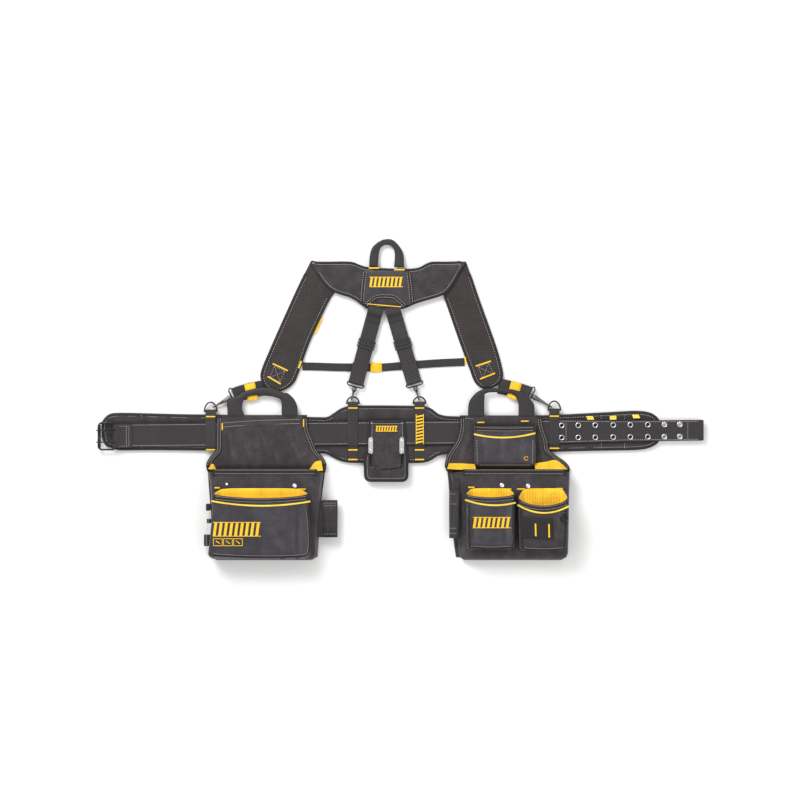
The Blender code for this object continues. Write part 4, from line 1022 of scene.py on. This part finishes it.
def make_chest_strap():
    """Chest strap in two lengths of webbing, with an elastic keeper."""
    left = curve([(-234.0, 79.5), (-200.0, 79.0), (-160.0, 77.6), (-113.0, 77.0)], 60)
    right = curve([(-90.0, 77.0), (-43.0, 77.0), (20.0, 82.0), (90.0, 87.0), (155.0, 90.0)], 90)
    for side, line in (("left", left), ("right", right)):
        piece = strap(f"chest_webbing_{side}", flat(line, 2.5), (0.0, 1.0, 0.0), 19.0, 1.8, WEBBING, "belt")
        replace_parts(piece, f"chest_strap_{side}")
    angle = np.linspace(0.0, 2 * math.pi, 40, endpoint=False)
    profile = [(-13.8, 1.0), (-13.8, 1.35), (0.0, 1.7), (13.8, 1.35), (13.8, 1.0), (0.0, 0.9), (-13.8, 1.0)]
    wide, high = squared(np.cos(angle), 0.35) * 10.6, squared(np.sin(angle), 0.6) * 1.5
    grid = np.array([np.column_stack([np.full(40, -57.0 + x), 77.0 + wide * (1 + 0.05 * k), 2.6 + high * k])
                     for x, k in profile])
    uv = np.stack(np.broadcast_arrays(np.array(profile)[:, :1], np.linspace(0, 50, 40)[None]), axis=-1)
    keeper = skin("chest_keeper_elastic", grid, LINING, "belt", ends=False, uv=uv)
    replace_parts(keeper, "chest_keeper")


make_chest_strap()

# Moulded parts and plates keep their CAD shape, with a finish of their own.
for node_name, material in (("strap_slider_left", ACETAL), ("strap_slider_right", ACETAL),
                            ("chest_buckle_socket", ACETAL), ("chest_buckle_tongue", ACETAL),
                            ("loop_plate_left", NICKEL), ("loop_plate_right", NICKEL)):
    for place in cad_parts[node_name].material_slots:
        place.material = material


# ---------------------------------------------------------------------------------------------------
# Pouches
# ---------------------------------------------------------------------------------------------------

def stations_of(rows):
    """Table of a pocket's sections, mouth first: back and front along Y, left, right, back and front
    heights.  A function of place along Y and column gives the smooth value."""
    rows = np.array(rows, dtype=float)[::-1]

    def value(y, column):
        return np.interp(y, rows[:, 1], rows[:, column])
    return value


def bag(name, rows, wall, body, material, lining, lean=(0.0, 0.0), belly=3.0, sag=0.0, square=0.34,
        folds=None, depth=0.8, round_bottom=7.0, columns=132):
    """Sewn pocket.  Its section is a squared ellipse between the back and the front heights; the sections
    follow the stations from the rounded bottom to the mouth, fold over the rim and go down inside, a wall
    thinner, in the lining.  The front bellies out by belly at its middle, its mouth hangs lower by sag in
    the middle, and folds(x, y) shapes the front."""
    rows = np.array(rows, dtype=float)
    low = rows[-1, 0]
    t = np.linspace(0.0, 1.0, 34)
    place = np.concatenate([[0.0], np.cumsum(np.abs(np.diff(rows[:, 1])))])
    place /= place[-1]
    levels = np.stack([np.interp(t, place, rows[:, k]) for k in range(6)], axis=1)[::-1]
    inset = np.zeros(len(levels))
    from_low = levels[:, 1] - low
    inset = np.where(from_low < round_bottom,
                     round_bottom * (1 - np.sqrt(np.clip(1 - (1 - from_low / round_bottom) ** 2, 0, 1))), 0.0)
    inner = levels[::-1][:int(len(levels) * depth)].copy()
    levels = np.concatenate([levels, inner[:1], inner])
    inset = np.concatenate([inset, [wall * 0.5], np.full(len(inner), wall)])
    share = np.concatenate([np.linspace(0.0, 1.0, 34), [1.0], np.linspace(1.0, 1.0 - depth, len(inner))])
    wide, high = (places[None] for places in section(columns // 2 - 12, 12, square))
    columns = wide.shape[1]
    back, front, left, right, bottom, top = (levels[:, k][:, None] for k in range(6))
    f = (high + 1) / 2
    half = (right - left) / 2 - inset[:, None]
    x = (left + right) / 2 + wide * half
    x = x + f * (lean[0] * (1 - wide) / 2 - lean[1] * (1 + wide) / 2)
    z = (bottom + inset[:, None]) + f * (top - bottom - 2 * inset[:, None])
    near_mouth = np.clip((share[:, None] - 0.62) / 0.38, 0.0, 1.0) ** 2
    y = back + (front - back) * f - sag * near_mouth * f * (1 - wide ** 2)
    z = z + belly * f * (1 - wide ** 2) * np.sin(np.clip(share[:, None] * 1.1, 0, 1) * math.pi / 2)
    relief = None if folds is None else folds(x, y) * f
    if relief is not None:
        z = z + relief
    grid = np.stack([x, y, z], axis=-1)
    girth = np.broadcast_to(np.linspace(0.0, 2 * (right[0, 0] - left[0, 0]), columns), x.shape)
    uv = np.stack([girth, np.broadcast_to((share * 200.0)[:, None], x.shape)], axis=-1)
    return skin(name, grid, material, body, uv=uv, lined_from=35, lining=lining, folds=relief)


def front_of(rows, belly=3.0, folds=None, lean=(0.0, 0.0)):
    """Height of a pocket's front as a function of the place on the ground plan."""
    value = stations_of(rows)

    def height(x, y):
        left, right = value(y, 2) + lean[0], value(y, 3) - lean[1]
        a = np.clip(2 * (x - left) / (right - left) - 1, -1.0, 1.0)
        z = value(y, 5) + belly * (1 - a ** 2)
        return z + (folds(x, y) if folds is not None else 0.0)
    return height


def crease(x, y, top, bottom, depth, width):
    """A soft fold along a line: a ridge with a shallower valley beside it, both Gaussian across the line
    and fading towards its ends."""
    top, bottom = np.array(top, dtype=float), np.array(bottom, dtype=float)
    way = bottom - top
    share = ((x - top[0]) * way[0] + (y - top[1]) * way[1]) / (way @ way)
    away = ((x - top[0]) * way[1] - (y - top[1]) * way[0]) / np.linalg.norm(way)
    ridge = np.exp(-(away / width) ** 2) - 0.45 * np.exp(-((away - 1.7 * width) / width) ** 2)
    return depth * ridge * np.exp(-((share - 0.5) / 0.45) ** 4)


def creases(x, y, folds, start=0.0):
    """A shape with folds added, each (top, bottom, depth, width)."""
    return sum((crease(x, y, *fold) for fold in folds), start)


def main_rows(edges):
    """Stations of a main pocket from its edges, mouth first."""
    backs, fronts = (-178.0, -200.0, -290.0, -370.0, -384.4), (-172.0, -200.0, -290.0, -370.0, -384.4)
    heights = (49.0, 50.5, 48.0, 41.5, 33.5)
    return [(back, front, left, right, 3.9, height)
            for back, front, height, (left, right) in zip(backs, fronts, heights, edges)]


def front_rows(main, mouth, bottom, lefts, rights, depth):
    """Stations of a pocket that stands on a main pocket's front."""
    value = stations_of(main)
    places = (mouth, (-290.0, -290.0), (bottom + 11.0, bottom + 11.0), (bottom, bottom))
    rows = []
    for (back, front), left, right, share in zip(places, lefts, rights, (1.0, 1.05, 0.85, 0.62)):
        low = float(value(back, 5)) + 2.4
        rows.append((back, front, left, right, low, low + (depth - 2.0) * share))
    return rows


def make_panel(side, rows, left, right, folds):
    """Back panel of a pouch: cloth with soft upright folds, bound down both flared sides."""
    rows, left, right = (np.array(v, dtype=float) for v in (rows, left, right))
    a = curve(np.column_stack([left, rows]), 90)
    b = curve(np.column_stack([right, rows]), 90)
    level = np.interp(a[:, 1], (-190.0, -166.0, -158.0), (PANEL_LOW, PANEL_LOW + 9.0, PANEL_HIGH))
    panel = pad(f"{side}_panel_cloth", a, b, level, PANEL_THICK - 0.6, POLYESTER, f"{side}_pouch", crown=0.8,
                square=0.3, sides=150, shape=folds)
    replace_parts(panel, f"{side}_back_panel")
    for edge_name, edge, other in (("left", a, b), ("right", b, a)):
        upper = edge[edge[:, 1] > -174.0]
        inward = unit(other - edge)[edge[:, 1] > -174.0]
        z = level[edge[:, 1] > -174.0] + 2.4
        tube(f"{side}_panel_binding_{edge_name}", np.column_stack([upper + inward * 5.4, z]), 6.2, BINDING,
             f"{side}_pouch", sides=18, tall=2.1)
        stitches(f"{side}_panel_binding_stitches_{edge_name}",
                 [np.column_stack([upper + inward * away, z + 1.9])[2:-2] for away in (2.6, 8.6)],
                 f"{side}_pouch")
    return a, b


def make_rim(name, rows, height, body, lean=(0.0, 0.0), sag=0.0, width=11.0, drop=4.6, shown=(0.03, 0.97)):
    """Binding over a pocket's front rim, with two rows of stitches."""
    left, right = rows[0][2] + lean[0], rows[0][3] - lean[1]
    front = rows[0][1]
    share = np.linspace(shown[0], shown[1], 90)
    x = left + (right - left) * share
    a = 2 * share - 1
    y = front - drop - sag * (1 - a ** 2)
    z = height(x, np.minimum(y, front - 0.5)) + 0.5
    path = np.column_stack([x, y, z])
    across = np.column_stack([-headings(path)[:, 1], headings(path)[:, 0], np.zeros(90)])
    strap(f"{name}_rim_tape", path, across, width, 2.2, BINDING, body)
    rows_of = [path[2:-2] + across[2:-2] * offset + UP * 1.5 for offset in (width / 2 - 2.0, 2.0 - width / 2)]
    stitches(f"{name}_rim_stitches", rows_of, body)
    return path


def make_piping(name, start, end, sag, height, body, lift=0.6, thick=2.1):
    """Bright piping in the seam under a pocket's rim band, a shallow parabola between its two ends."""
    share = np.linspace(0.0, 1.0, 90)[:, None]
    path = np.array(start) * (1 - share) + np.array(end) * share - [0.0, 4 * sag] * share * (1 - share)
    path = on(height, path, lift)
    tube(f"{name}_piping", path, thick, PIPING, body, sides=12, tall=1.8)


def make_sleeve(side, centre, half, levels, body, turn=0.0):
    """Webbing sleeve on a pouch's side: a flattened tube along Y, turned about its length, that folds over
    its mouth and goes down inside.  half is its half width and half thickness, and levels are (y, size)."""
    angle = np.linspace(0.0, 2 * math.pi, 44, endpoint=False)
    wide, high = squared(np.cos(angle), 0.45) * half[0], squared(np.sin(angle), 0.6) * half[1]
    grid = np.array([np.column_stack([
        centre[0] + wide * k * math.cos(turn) - high * k * math.sin(turn), np.full(44, float(y)),
        centre[1] + wide * k * math.sin(turn) + high * k * math.cos(turn)]) for y, k in levels])
    uv = np.stack(np.broadcast_arrays(np.linspace(0.0, 80.0, 44)[None], np.array(levels)[:, :1]), axis=-1)
    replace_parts(skin(f"{side}_sleeve_webbing", grid, WEBBING, body, uv=uv), f"{side}_side_sleeve")


def make_handle(side, outer, inner):
    """Webbing handle, flat where it is sewn on and narrowed where the hand grips it."""
    a, b = curve(outer, 110), curve(inner, 110)
    piece = pad(f"{side}_handle_webbing", a, b, 14.0, 2.8, WEBBING, f"{side}_handle", crown=1.8, square=0.35,
                sides=32)
    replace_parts(piece, f"{side}_handle")


def make_gusset_lining(name, upper, lower, body):
    """Elastic lining that shows inside the main mouth: a sheet from the panel up to the front rim."""
    a, b = curve(upper, 40), curve(lower, 40)
    share = np.linspace(0.0, 1.0, 10)
    front = a[:, None] * (1 - share[None, :, None]) + b[:, None] * share[None, :, None]
    z = 19.5 + 26.0 * share ** 1.5 + 0.8 * np.sin(front[..., 0] / 4.0)
    top = np.concatenate([front, z[..., None]], axis=-1)
    grid = np.concatenate([top, (top - UP * 1.2)[:, ::-1]], axis=1)
    uv = np.concatenate([front, front[:, ::-1]], axis=1)
    skin(name, grid, LINING, body, uv=uv)


def make_patch(name, height, corners, material, body, lift=0.9):
    """Small sewn patch on a pocket's front, between two side curves of two or more points."""
    a, b = curve(corners[0], 24), curve(corners[1], 24)
    share = np.linspace(0.0, 1.0, 24)[:, None, None]
    middle = a[:, None] * (1 - share.reshape(1, -1, 1)) + b[:, None] * share.reshape(1, -1, 1)
    z = height(middle[..., 0], middle[..., 1]) + lift
    top = np.concatenate([middle, z[..., None]], axis=-1)
    back = top - UP * 1.0
    grid = np.concatenate([top, back[:, ::-1]], axis=1)
    uv = np.concatenate([middle, middle[:, ::-1]], axis=1)
    return skin(name, grid, material, body, uv=uv)


def make_edge(name, height, lines, body):
    """Dark corded seams round a pocket's face: a thin tube along each line, laid on the face."""
    for number, line in enumerate(lines, start=1):
        tube(f"{name}_edge_{number}", on(height, curve(line, 60), 0.3), 2.0, BINDING, body, sides=10)


def rivets(name, spots, height, body, radius=5.2):
    """Domed rivets with a rolled flange."""
    centres = on(height, spots, 0.0)
    r = radius
    profile = [(0.01, 0.2), (r, 0.2), (r, 1.0), (r * 0.86, 1.5), (r * 0.72, 1.4), (r * 0.6, 1.7),
               (r * 0.35, 2.2), (0.01, 2.35)]
    turned(name, centres, profile, NICKEL, body)


def make_left_pouch():
    """Large pouch with one wide front pocket and a webbing sleeve on its side."""
    body = "left_pouch"

    def panel_folds(x, y):
        return creases(x, y, [((-408, -78), (-398, -152), 3.2, 4.6), ((-334, -80), (-314, -132), 3.0, 4.2),
                              ((-268, -80), (-236, -160), 3.6, 4.4), ((-372, -96), (-352, -164), 1.8, 6.0),
                              ((-300, -120), (-286, -166), 1.8, 5.0), ((-425, -62), (-235, -56), 1.8, 3.0)]
                       ) + 1.3 * np.sin(x / 21.0) * np.clip((-60 - y) / 60.0, 0.0, 1.0)

    rows = [-37, -50, -73, -97, -121, -133, -145, -158, -176, -220, -280, -330, -378]
    left = [-438, -438.5, -439, -439.5, -440, -449, -459, -464, -461, -458, -453, -452, -450]
    right = [-224, -222.5, -220, -211, -201, -192, -182, -177, -180, -186, -193, -195, -198]
    make_panel("left", rows, left, right, panel_folds)
    main = main_rows([(-462, -180), (-456, -184), (-452, -192), (-455, -195), (-449, -200)])

    def main_folds(x, y):
        return (crease(x, y, (-300, -178), (-306, -210), 1.6, 12.0) + 1.0 * np.sin(x / 17.0 + y / 40.0)
                + crease(x, y, (-209, -215), (-205, -370), 1.6, 3.6))

    lean = (5.0, 10.0)
    shell = bag("left_main_bag", main, 2.5, body, POLYESTER, LINING, lean=lean, belly=1.6, folds=main_folds)
    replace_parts(shell, "left_main_pocket")
    front = front_of(main, 1.6, main_folds, lean)
    make_rim("left_main", main, front, body, lean=lean, width=13.0, drop=1.0)

    def face_folds(x, y):
        return (1.3 * np.sin(x / 26.0 + 0.6) * np.sin((y + 380) / 60.0)
                + crease(x, y, (-238, -255), (-242, -376), 2.4, 4.6) - 1.5 * np.clip((x + 225) / 10.0, 0, 2)
                + crease(x, y, (-405, -262), (-440, -318), 1.0, 7.0)
                + crease(x, y, (-330, -300), (-270, -372), 1.4, 9.0))

    tuck = (-24.0, -26.0)
    small = front_rows(main, (-212.0, -227.0), -381.0, (-426, -431, -440, -435), (-240, -236, -233, -240),
                       28.0)
    pocket = bag("left_front_bag", small, 1.6, body, COATED, LINING, lean=tuck, belly=2.4, sag=8.0,
                 folds=face_folds)
    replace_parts(pocket, "left_front_pocket")
    face = front_of(small, 2.4, face_folds, tuck)
    make_rim("left_front", small, face, body, lean=tuck, sag=8.0, width=11.0, drop=6.0, shown=(0.02, 0.98))
    make_piping("left_front", (-450, -242.0), (-214, -243.0), 11.0, face, body)
    lines = [[(-446, -368), (-400, -371), (-348, -373), (-290, -373), (-240, -371), (-224, -368)],
             [(-452, -262), (-457, -290), (-462, -330), (-460, -360)],
             [(-224, -262), (-220, -300), (-219, -350), (-222, -366)]]
    stitches("left_front_stitches", [on(face, curve(line, 60), 0.6) for line in lines], body)
    make_edge("left_front", face, [[(x, y - 4) for x, y in lines[0]], [(x + 4, y) for x, y in lines[2]]],
              body)
    make_emblem("left_pouch_emblem", face, (-446.0, -332.0), (-293.0, -326.0), 9, body)
    frames = []
    for x0 in (-445.0, -421.0, -397.0):
        corners = on(face, [(x0, -332), (x0 + 21, -332), (x0 + 21, -349), (x0, -349)], 0.8)
        frames += [(corners[k], corners[(k + 1) % 4], 1.8) for k in range(4)]
        frames.append((on(face, [(x0 + 6, -337)], 0.8)[0], on(face, [(x0 + 15, -344)], 0.8)[0], 2.6))
    tacks("left_pouch_squares", frames, body)
    rivets("left_rivet_outer", [(-414, -202.5)], front, body, radius=3.2)
    rivets("left_rivet_inner", [(-252, -206)], front, body, radius=5.2)
    bars = [((-426, -57, 18.4), (-426, -73, 18.4), 3.4), ((-231, -48, 18.4), (-231, -65, 18.4), 3.4)]
    bars += [(on(front, [(-443, -211)], 1.4)[0], on(front, [(-431, -211)], 1.4)[0], 4.0),
             (on(front, [(-245, -214.5)], 1.4)[0], on(front, [(-226, -214.5)], 1.4)[0], 4.0)]
    tacks("left_pouch_tacks", bars, body)
    hem = flat(curve([(-427, -56.5), (-380, -53), (-330, -50), (-240, -48)], 60), 17.6)
    stitches("left_hem_stitches", [hem, hem - [0.0, 9.6, 0.0]], body)
    make_sleeve("left", (-167.8, 22.0), (18.2, 7.6), [
        (-330, 1.0), (-300, 1.01), (-270, 1.03), (-241, 1.0), (-241, 0.94), (-241, 0.86), (-270, 0.84),
        (-328, 0.84)], body)
    stitches("left_sleeve_stitches", [[(-184, y, 30.0), (-152, y, 30.0)] for y in (-248, -254, -322)],
             body)
    make_gusset_lining("left_lining_1", [(-452, -154), (-446, -156), (-441, -166)],
                       [(-459, -166), (-448, -168), (-437, -170)], body)
    make_gusset_lining("left_lining_2", [(-216, -166), (-204, -150), (-189, -146)],
                       [(-220, -170), (-202, -171), (-184, -170)], body)
    strap("left_sleeve_tab", curve([(-212, -286, 27.0), (-198, -286, 26.0), (-184, -286, 25.0)], 24),
          (0.0, 1.0, 0.0), 88.0, 2.0, WEBBING, body)
    for number, (y, reach, width) in enumerate(((-258, 8.0, 15.0), (-291, 6.0, 9.0), (-337, 13.0, 26.0)),
                                               start=1):
        x = -456.0
        path = curve([(x + 8, y, 30.0), (x - reach * 0.6, y - 1, 32.0), (x - reach, y, 27.0),
                      (x - reach * 0.6, y + 1, 22.0), (x + 8, y, 20.0)], 40)
        strap(f"left_side_loop_{number}", path, (0.0, 1.0, 0.0), width, 1.6, WEBBING, body)
    make_handle("left", [(-413, -42), (-414, -22), (-415, -8), (-406, 4), (-389, 9), (-372, 20), (-331, 29),
                         (-300, 25), (-281, 17), (-269, 15), (-254, 1), (-246, -18), (-245, -42)],
                [(-372, -42), (-376, -30), (-378, -20), (-376, -5), (-366, 6), (-348, 10), (-331, 9.5),
                 (-312, 8), (-298, 5), (-287, 0), (-284, -14), (-284, -28), (-283, -42)])


def make_right_pouch():
    """Pouch with two front pockets, a flat top pocket and a ring."""
    body = "right_pouch"

    def panel_folds(x, y):
        return creases(x, y, [((348, -84), (378, -150), 2.8, 4.0), ((164, -90), (140, -160), 2.6, 4.4),
                              ((334, -100), (348, -160), 2.2, 4.4)]
                       ) + 1.2 * np.sin(x / 19.0) * np.clip((-60 - y) / 60.0, 0.0, 1.0)

    rows = [-38, -50, -68, -84, -97, -110, -121, -136, -158, -176, -220, -280, -330, -378]
    left = [144, 144, 144, 141, 137, 130, 122, 113, 108, 114, 118, 124, 128, 134]
    right = [338, 340, 343, 348, 353, 355, 356, 372, 402, 407, 406, 405, 403, 400]
    make_panel("right", rows, left, right, panel_folds)
    lean = (30.0, 4.0)
    main = main_rows([(112, 408), (119, 407), (127, 406), (134, 404), (139, 396)])

    def main_folds(x, y):
        return creases(x, y, [((277.5, -240), (277.5, -370), 3.0, 4.0), ((150, -368), (390, -366), 2.4, 4.0)],
                       start=np.sin(x / 15.0 + y / 37.0))

    shell = bag("right_main_bag", main, 2.5, body, POLYESTER, LINING, lean=lean, belly=1.6, folds=main_folds)
    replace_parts(shell, "right_main_pocket")
    front = front_of(main, 1.6, main_folds, lean)
    make_rim("right_main", main, front, body, lean=lean, width=13.0, drop=1.0)
    tuck = (-15.0, -15.0)
    small_a = front_rows(main, (-212.0, -227.0), -358.0, (169, 170, 171, 173), (261.5, 261.5, 262, 259), 28.0)
    small_b = front_rows(main, (-212.0, -238.0), -361.0, (294, 295, 296, 299), (389, 388, 387, 382), 28.0)

    def face_folds(x, y):
        return creases(x, y, [((382, -262), (372, -352), 2.0, 5.0), ((180, -252), (176, -345), 1.6, 5.0),
                              ((256, -256), (252, -345), 1.8, 5.0), ((330, -335), (388, -318), 1.3, 5.0),
                              ((186, -330), (252, -322), 1.1, 7.0)],
                       start=1.4 * np.sin(x / 20.0) * np.sin((y + 360) / 50.0))

    faces = []
    for letter, small, cloth, sag in (("a", small_a, COATED, 6.0), ("b", small_b, POLYESTER, 15.0)):
        pocket = bag(f"right_front_bag_{letter}", small, 1.6, body, cloth, LINING, lean=tuck, belly=2.4,
                     sag=sag, folds=face_folds, columns=96)
        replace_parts(pocket, f"right_front_pocket_{letter}")
        faces.append(front_of(small, 2.4, face_folds, tuck))
        make_rim(f"right_front_{letter}", small, faces[-1], body, lean=tuck, sag=sag, width=11.0, drop=6.0,
                 shown=(0.03, 0.97))
    face_a, face_b = faces
    make_piping("right_front_a", (155, -239.0), (276, -246.0), 9.5, face_a, body)
    make_piping("right_front_b", (280, -251.0), (403, -254.0), 18.0, face_b, body)
    make_emblem("right_pouch_emblem", face_a, (174.0, 264.0), (-281.0, -306.0), 8, body)
    make_patch("right_slot_panel", face_b, ([(288, -279), (364, -284)], [(290, -330), (364, -332)]), BINDING,
               body, lift=1.2)
    bars = [(on(face_b, [(323, -296)], 2.6)[0], on(face_b, [(324, -326)], 2.6)[0], 4.4),
            (on(face_b, [(355, -297)], 2.6)[0], on(face_b, [(356, -329)], 2.6)[0], 4.4)]
    for x0, x1, y in ((163, 178, -210), (250, 266, -214), (280, 298, -214), (373, 389, -213)):
        bars.append((on(front, [(x0, y)], 1.4)[0], on(front, [(x1, y)], 1.4)[0], 4.0))
    rivets("right_rivets", [(243.5, -205), (306, -206.5)], front, body, radius=5.4)
    seams = {"a": (face_a, [[(168, -350), (220, -352), (266, -350)], [(162, -258), (163, -300), (165, -346)],
                            [(270, -258), (270, -300), (268, -346)]],
                   [(164, -250), (164, -300), (166, -350), (172, -354), (220, -356), (262, -354), (269, -348),
                    (271, -300), (271, -250)]),
             "b": (face_b, [[(288, -270), (290, -300), (292, -350)], [(398, -272), (397, -300), (394, -350)],
                            [(296, -354), (340, -356), (390, -354)]],
                   [(288, -262), (289, -300), (292, -350), (300, -358), (340, -360), (384, -358),
                    (393, -350), (397, -300), (398, -264)])}
    stitches("right_front_stitches", [on(surface, curve(line, 50), 0.6)
                                      for surface, lines, _ in seams.values() for line in lines], body)
    for letter, (surface, _, edge) in seams.items():
        make_edge(f"right_front_{letter}", surface, [edge], body)
    hem = flat(curve([(148, -46), (165, -45.5), (176, -47)], 12), 17.6)
    low = PANEL_HIGH + PANEL_THICK + 0.4
    top = [(-56.0, -64.0, 177, 325, low, low + 12.5), (-100.0, -100.0, 177, 325, low, low + 15.5),
           (-150.0, -150.0, 177, 325, low, low + 14.5), (-163.0, -163.0, 181, 321, low, low + 10.0)]

    def top_folds(x, y):
        return creases(x, y, [((250, -88), (236, -150), 1.8, 5.0), ((204, -92), (200, -150), 1.5, 5.0),
                              ((300, -92), (286, -148), 1.6, 6.0)])

    pocket = bag("right_top_bag", top, 1.4, body, COATED, BINDING, belly=1.4, square=0.3, folds=top_folds,
                 round_bottom=4.0)
    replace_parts(pocket, "right_top_pocket")
    face = front_of(top, 1.4, top_folds)
    make_rim("right_top", top, face, body, sag=2.0, width=11.0, drop=6.0, shown=(0.02, 0.98))
    make_piping("right_top", (177, -83.0), (324, -80.5), 9.5, face, body)
    bars += [((185, -55, 20.0), (202, -55, 20.0), 3.6), ((290, -52, 20.0), (308, -52, 20.0), 3.6)]
    tacks("right_pouch_tacks", bars, body)
    stitches("right_top_stitches", [hem, on(face, curve([(184, -96), (185, -156)], 30), 0.6),
                                    on(face, curve([(318, -96), (317, -156)], 30), 0.6),
                                    on(face, curve([(190, -157), (312, -157)], 40), 0.6)], body)
    mark = on(face, arc((302.0, -141.0), 4.5, 20, 330, 8), 0.9)
    tacks("right_top_mark", [(mark[k], mark[k + 1], 1.6) for k in range(8)], body)
    turn = math.radians(47.7)
    across = np.linspace(-0.75, 0.75, 8)[:, None] * 16.6 * np.array([math.cos(turn), 0.0, math.sin(turn)])
    above = np.array([131.0, 0.0, 33.0]) + 5.9 * np.array([-math.sin(turn), 0.0, math.cos(turn)])
    stitches("right_sleeve_stitches", [across + above + [0.0, y, 0.0] for y in (-226, -250, -308, -320)],
             body, pitch=4.0, length=3.0)
    strap("right_sleeve_tab", curve([(135.6, -178, 30.6), (134.0, -200, 31.6), (133.6, -222, 32.0)], 24),
          (math.cos(turn), 0.0, math.sin(turn)), 25.0, 2.0, WEBBING, body)
    make_sleeve("right", (131.0, 33.0), (16.6, 5.7), [
        (-332, 1.0), (-300, 1.0), (-260, 1.02), (-217, 1.0), (-217, 0.93), (-217, 0.84), (-260, 0.82),
        (-330, 0.82)], body, turn)
    make_gusset_lining("right_lining_1", [(117, -153), (146, -153), (180, -155)],
                       [(112, -166), (146, -168), (182, -169)], body)
    make_gusset_lining("right_lining_2", [(323, -153), (350, -149), (372, -145), (392, -157)],
                       [(323, -170), (350, -170), (376, -170), (400, -167)], body)
    height = float(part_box("clip_ring")[0][2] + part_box("clip_ring")[1][2]) / 2 / MM
    ring = tube("clip_ring_wire", flat(curve(arc((391.5, -284.0), 8.0, 0, 345, 23), 60, closed=True), height),
                1.6, BLACK_STEEL, "clip_ring", closed=True)
    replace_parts(ring, "clip_ring")
    make_handle("right", [(163, -42), (163, -28), (164, -13), (168, -1), (178, 12), (185, 18), (197, 24),
                          (216, 27), (245, 27), (270, 24), (290, 18), (306, 8), (316, -4), (322, -14),
                          (323, -42)],
                [(202, -42), (202, -28), (202, -14), (202, -2), (203, 6), (203, 12), (208, 15), (216, 17),
                 (240, 17), (256, 15.5), (268, 13), (277, 7), (282, -2), (284, -14), (284, -42)])


make_left_pouch()
make_right_pouch()


# ---------------------------------------------------------------------------------------------------
# Hammer holder
# ---------------------------------------------------------------------------------------------------

def make_hammer_holder():
    """Stiff backed pad with bound edges, a small label, two loop plates and a wire loop."""
    body = "hammer_holder"
    left = [(-74, -50), (-75, -80), (-77, -110), (-86, -140), (-86, -168), (-85, -186), (-80, -194),
            (-73, -197)]
    right = [(12, -50), (13.5, -80), (15, -110), (19.5, -140), (19.5, -168), (19, -186), (14, -194),
             (7, -197)]
    a, b = curve(left, 70), curve(right, 70)
    piece = pad("hammer_holder_pad", a, b, HOLDER_LOW, HOLDER_TOP - HOLDER_LOW - 0.5, POLYESTER, body,
                crown=0.5, square=0.3, sides=60,
                shape=lambda x, y: crease(x, y, (-33, -60), (-33, -105), 0.8, 16.0))
    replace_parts(piece, "hammer_holder")
    rim = curve(resample(np.concatenate([a, b[::-1], a[:1]]), 6.0)[:-1], 260, closed=True)
    stitches("hammer_holder_stitches", [bind("hammer_holder", rim, 3.2, 16.0, 4.0, 2.9, (7.6, 18.9), body,
                                             turn=-1, sides=14)], body)
    make_emblem("hammer_holder_emblem", lambda x, y: 18.8 + 0.0 * x, (-58.0, -6.0), (-64.0, -76.0), 8, body)
    plates = [(x, y, HOLDER_TOP + 2.4) for x in (-70.2, 4.2) for y in (-99.0, -121.0)]
    turned("loop_plate_rivets", plates, [(0.01, 0.1), (2.8, 0.1), (2.8, 0.5), (2.0, 1.1), (0.01, 1.4)],
           NICKEL, body, sides=18)
    y0, z0 = LOOP_AXIS

    def arm(x, distance):
        return x, y0 - distance * math.cos(LOOP_ANGLE), z0 + distance * math.sin(LOOP_ANGLE)

    side = [(-76.0, 0.0), (-73.0, 0.2), (-70.9, 2.0), (-70.5, 6.0), (-70.5, LOOP_ARM - 12.0),
            (-69.2, LOOP_ARM - 5.0), (-65.0, LOOP_ARM - 0.8), (-58.0, LOOP_ARM + 0.8)]
    path = [arm(x, d) for x, d in side] + [arm(-33.0, LOOP_ARM + 4.0)]
    path += [arm(-66.0 - x, d) for x, d in side[::-1]]
    loop = tube("hammer_loop_wire", curve(path, 150), LOOP_WIRE, BLACK_STEEL, "hammer_loop",
                reference=np.array([0.0, math.sin(LOOP_ANGLE), math.cos(LOOP_ANGLE)]))
    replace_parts(loop, "hammer_loop")


make_hammer_holder()


def make_tacks():
    """Yellow bar tacks of the belt, its tabs, the yoke and the shoulder pads."""
    bars = []
    for x, rows in ((-454.0, (-41.0, -120.5)), (-112.8, (-20.5, -120.8, -144.0)),
                    (46.8, (-20.5, -120.8, -144.0)), (370.0, (-40.0, -117.0))):
        for y in rows:
            bars.append(((x - 11.0, y, 13.0), (x + 11.0, y, 13.0), 3.8))
    for x0, x1, y in ((-75, -50, 315), (-14, 11, 311)):
        bars.append(((x0, y, 17.2), (x1, y, 17.0), 3.8))
    bars.append(((-78, 229, 20.2), (2, 222, 20.2), 2.6))
    for start, end in (((-305, 86), (-269, 69)), ((-317, 55), (-286, 37)), ((182, 80), (218, 92)),
                       ((192, 49), (228, 63))):
        bars.append(((*start, 11.6), (*end, 11.6), 4.0))
    bars.append(((158, 84, 11.0), (156, 102, 11.0), 4.6))
    bars.append(((-243, 75, 10.6), (-237, 92, 10.6), 4.6))
    tacks("belt_tacks", bars, "belt")
    label = [((39.5, y - 1.6, 16.1), (55.5, y + 1.6, 16.1), 4.6) for y in np.linspace(-102.0, -40.0, 9)]
    label += [((x, -107.0, 16.0), (x, -35.0, 16.0), 2.0) for x in (38.8, 56.2)]
    tacks("tab_emblem", label, "belt")


make_tacks()
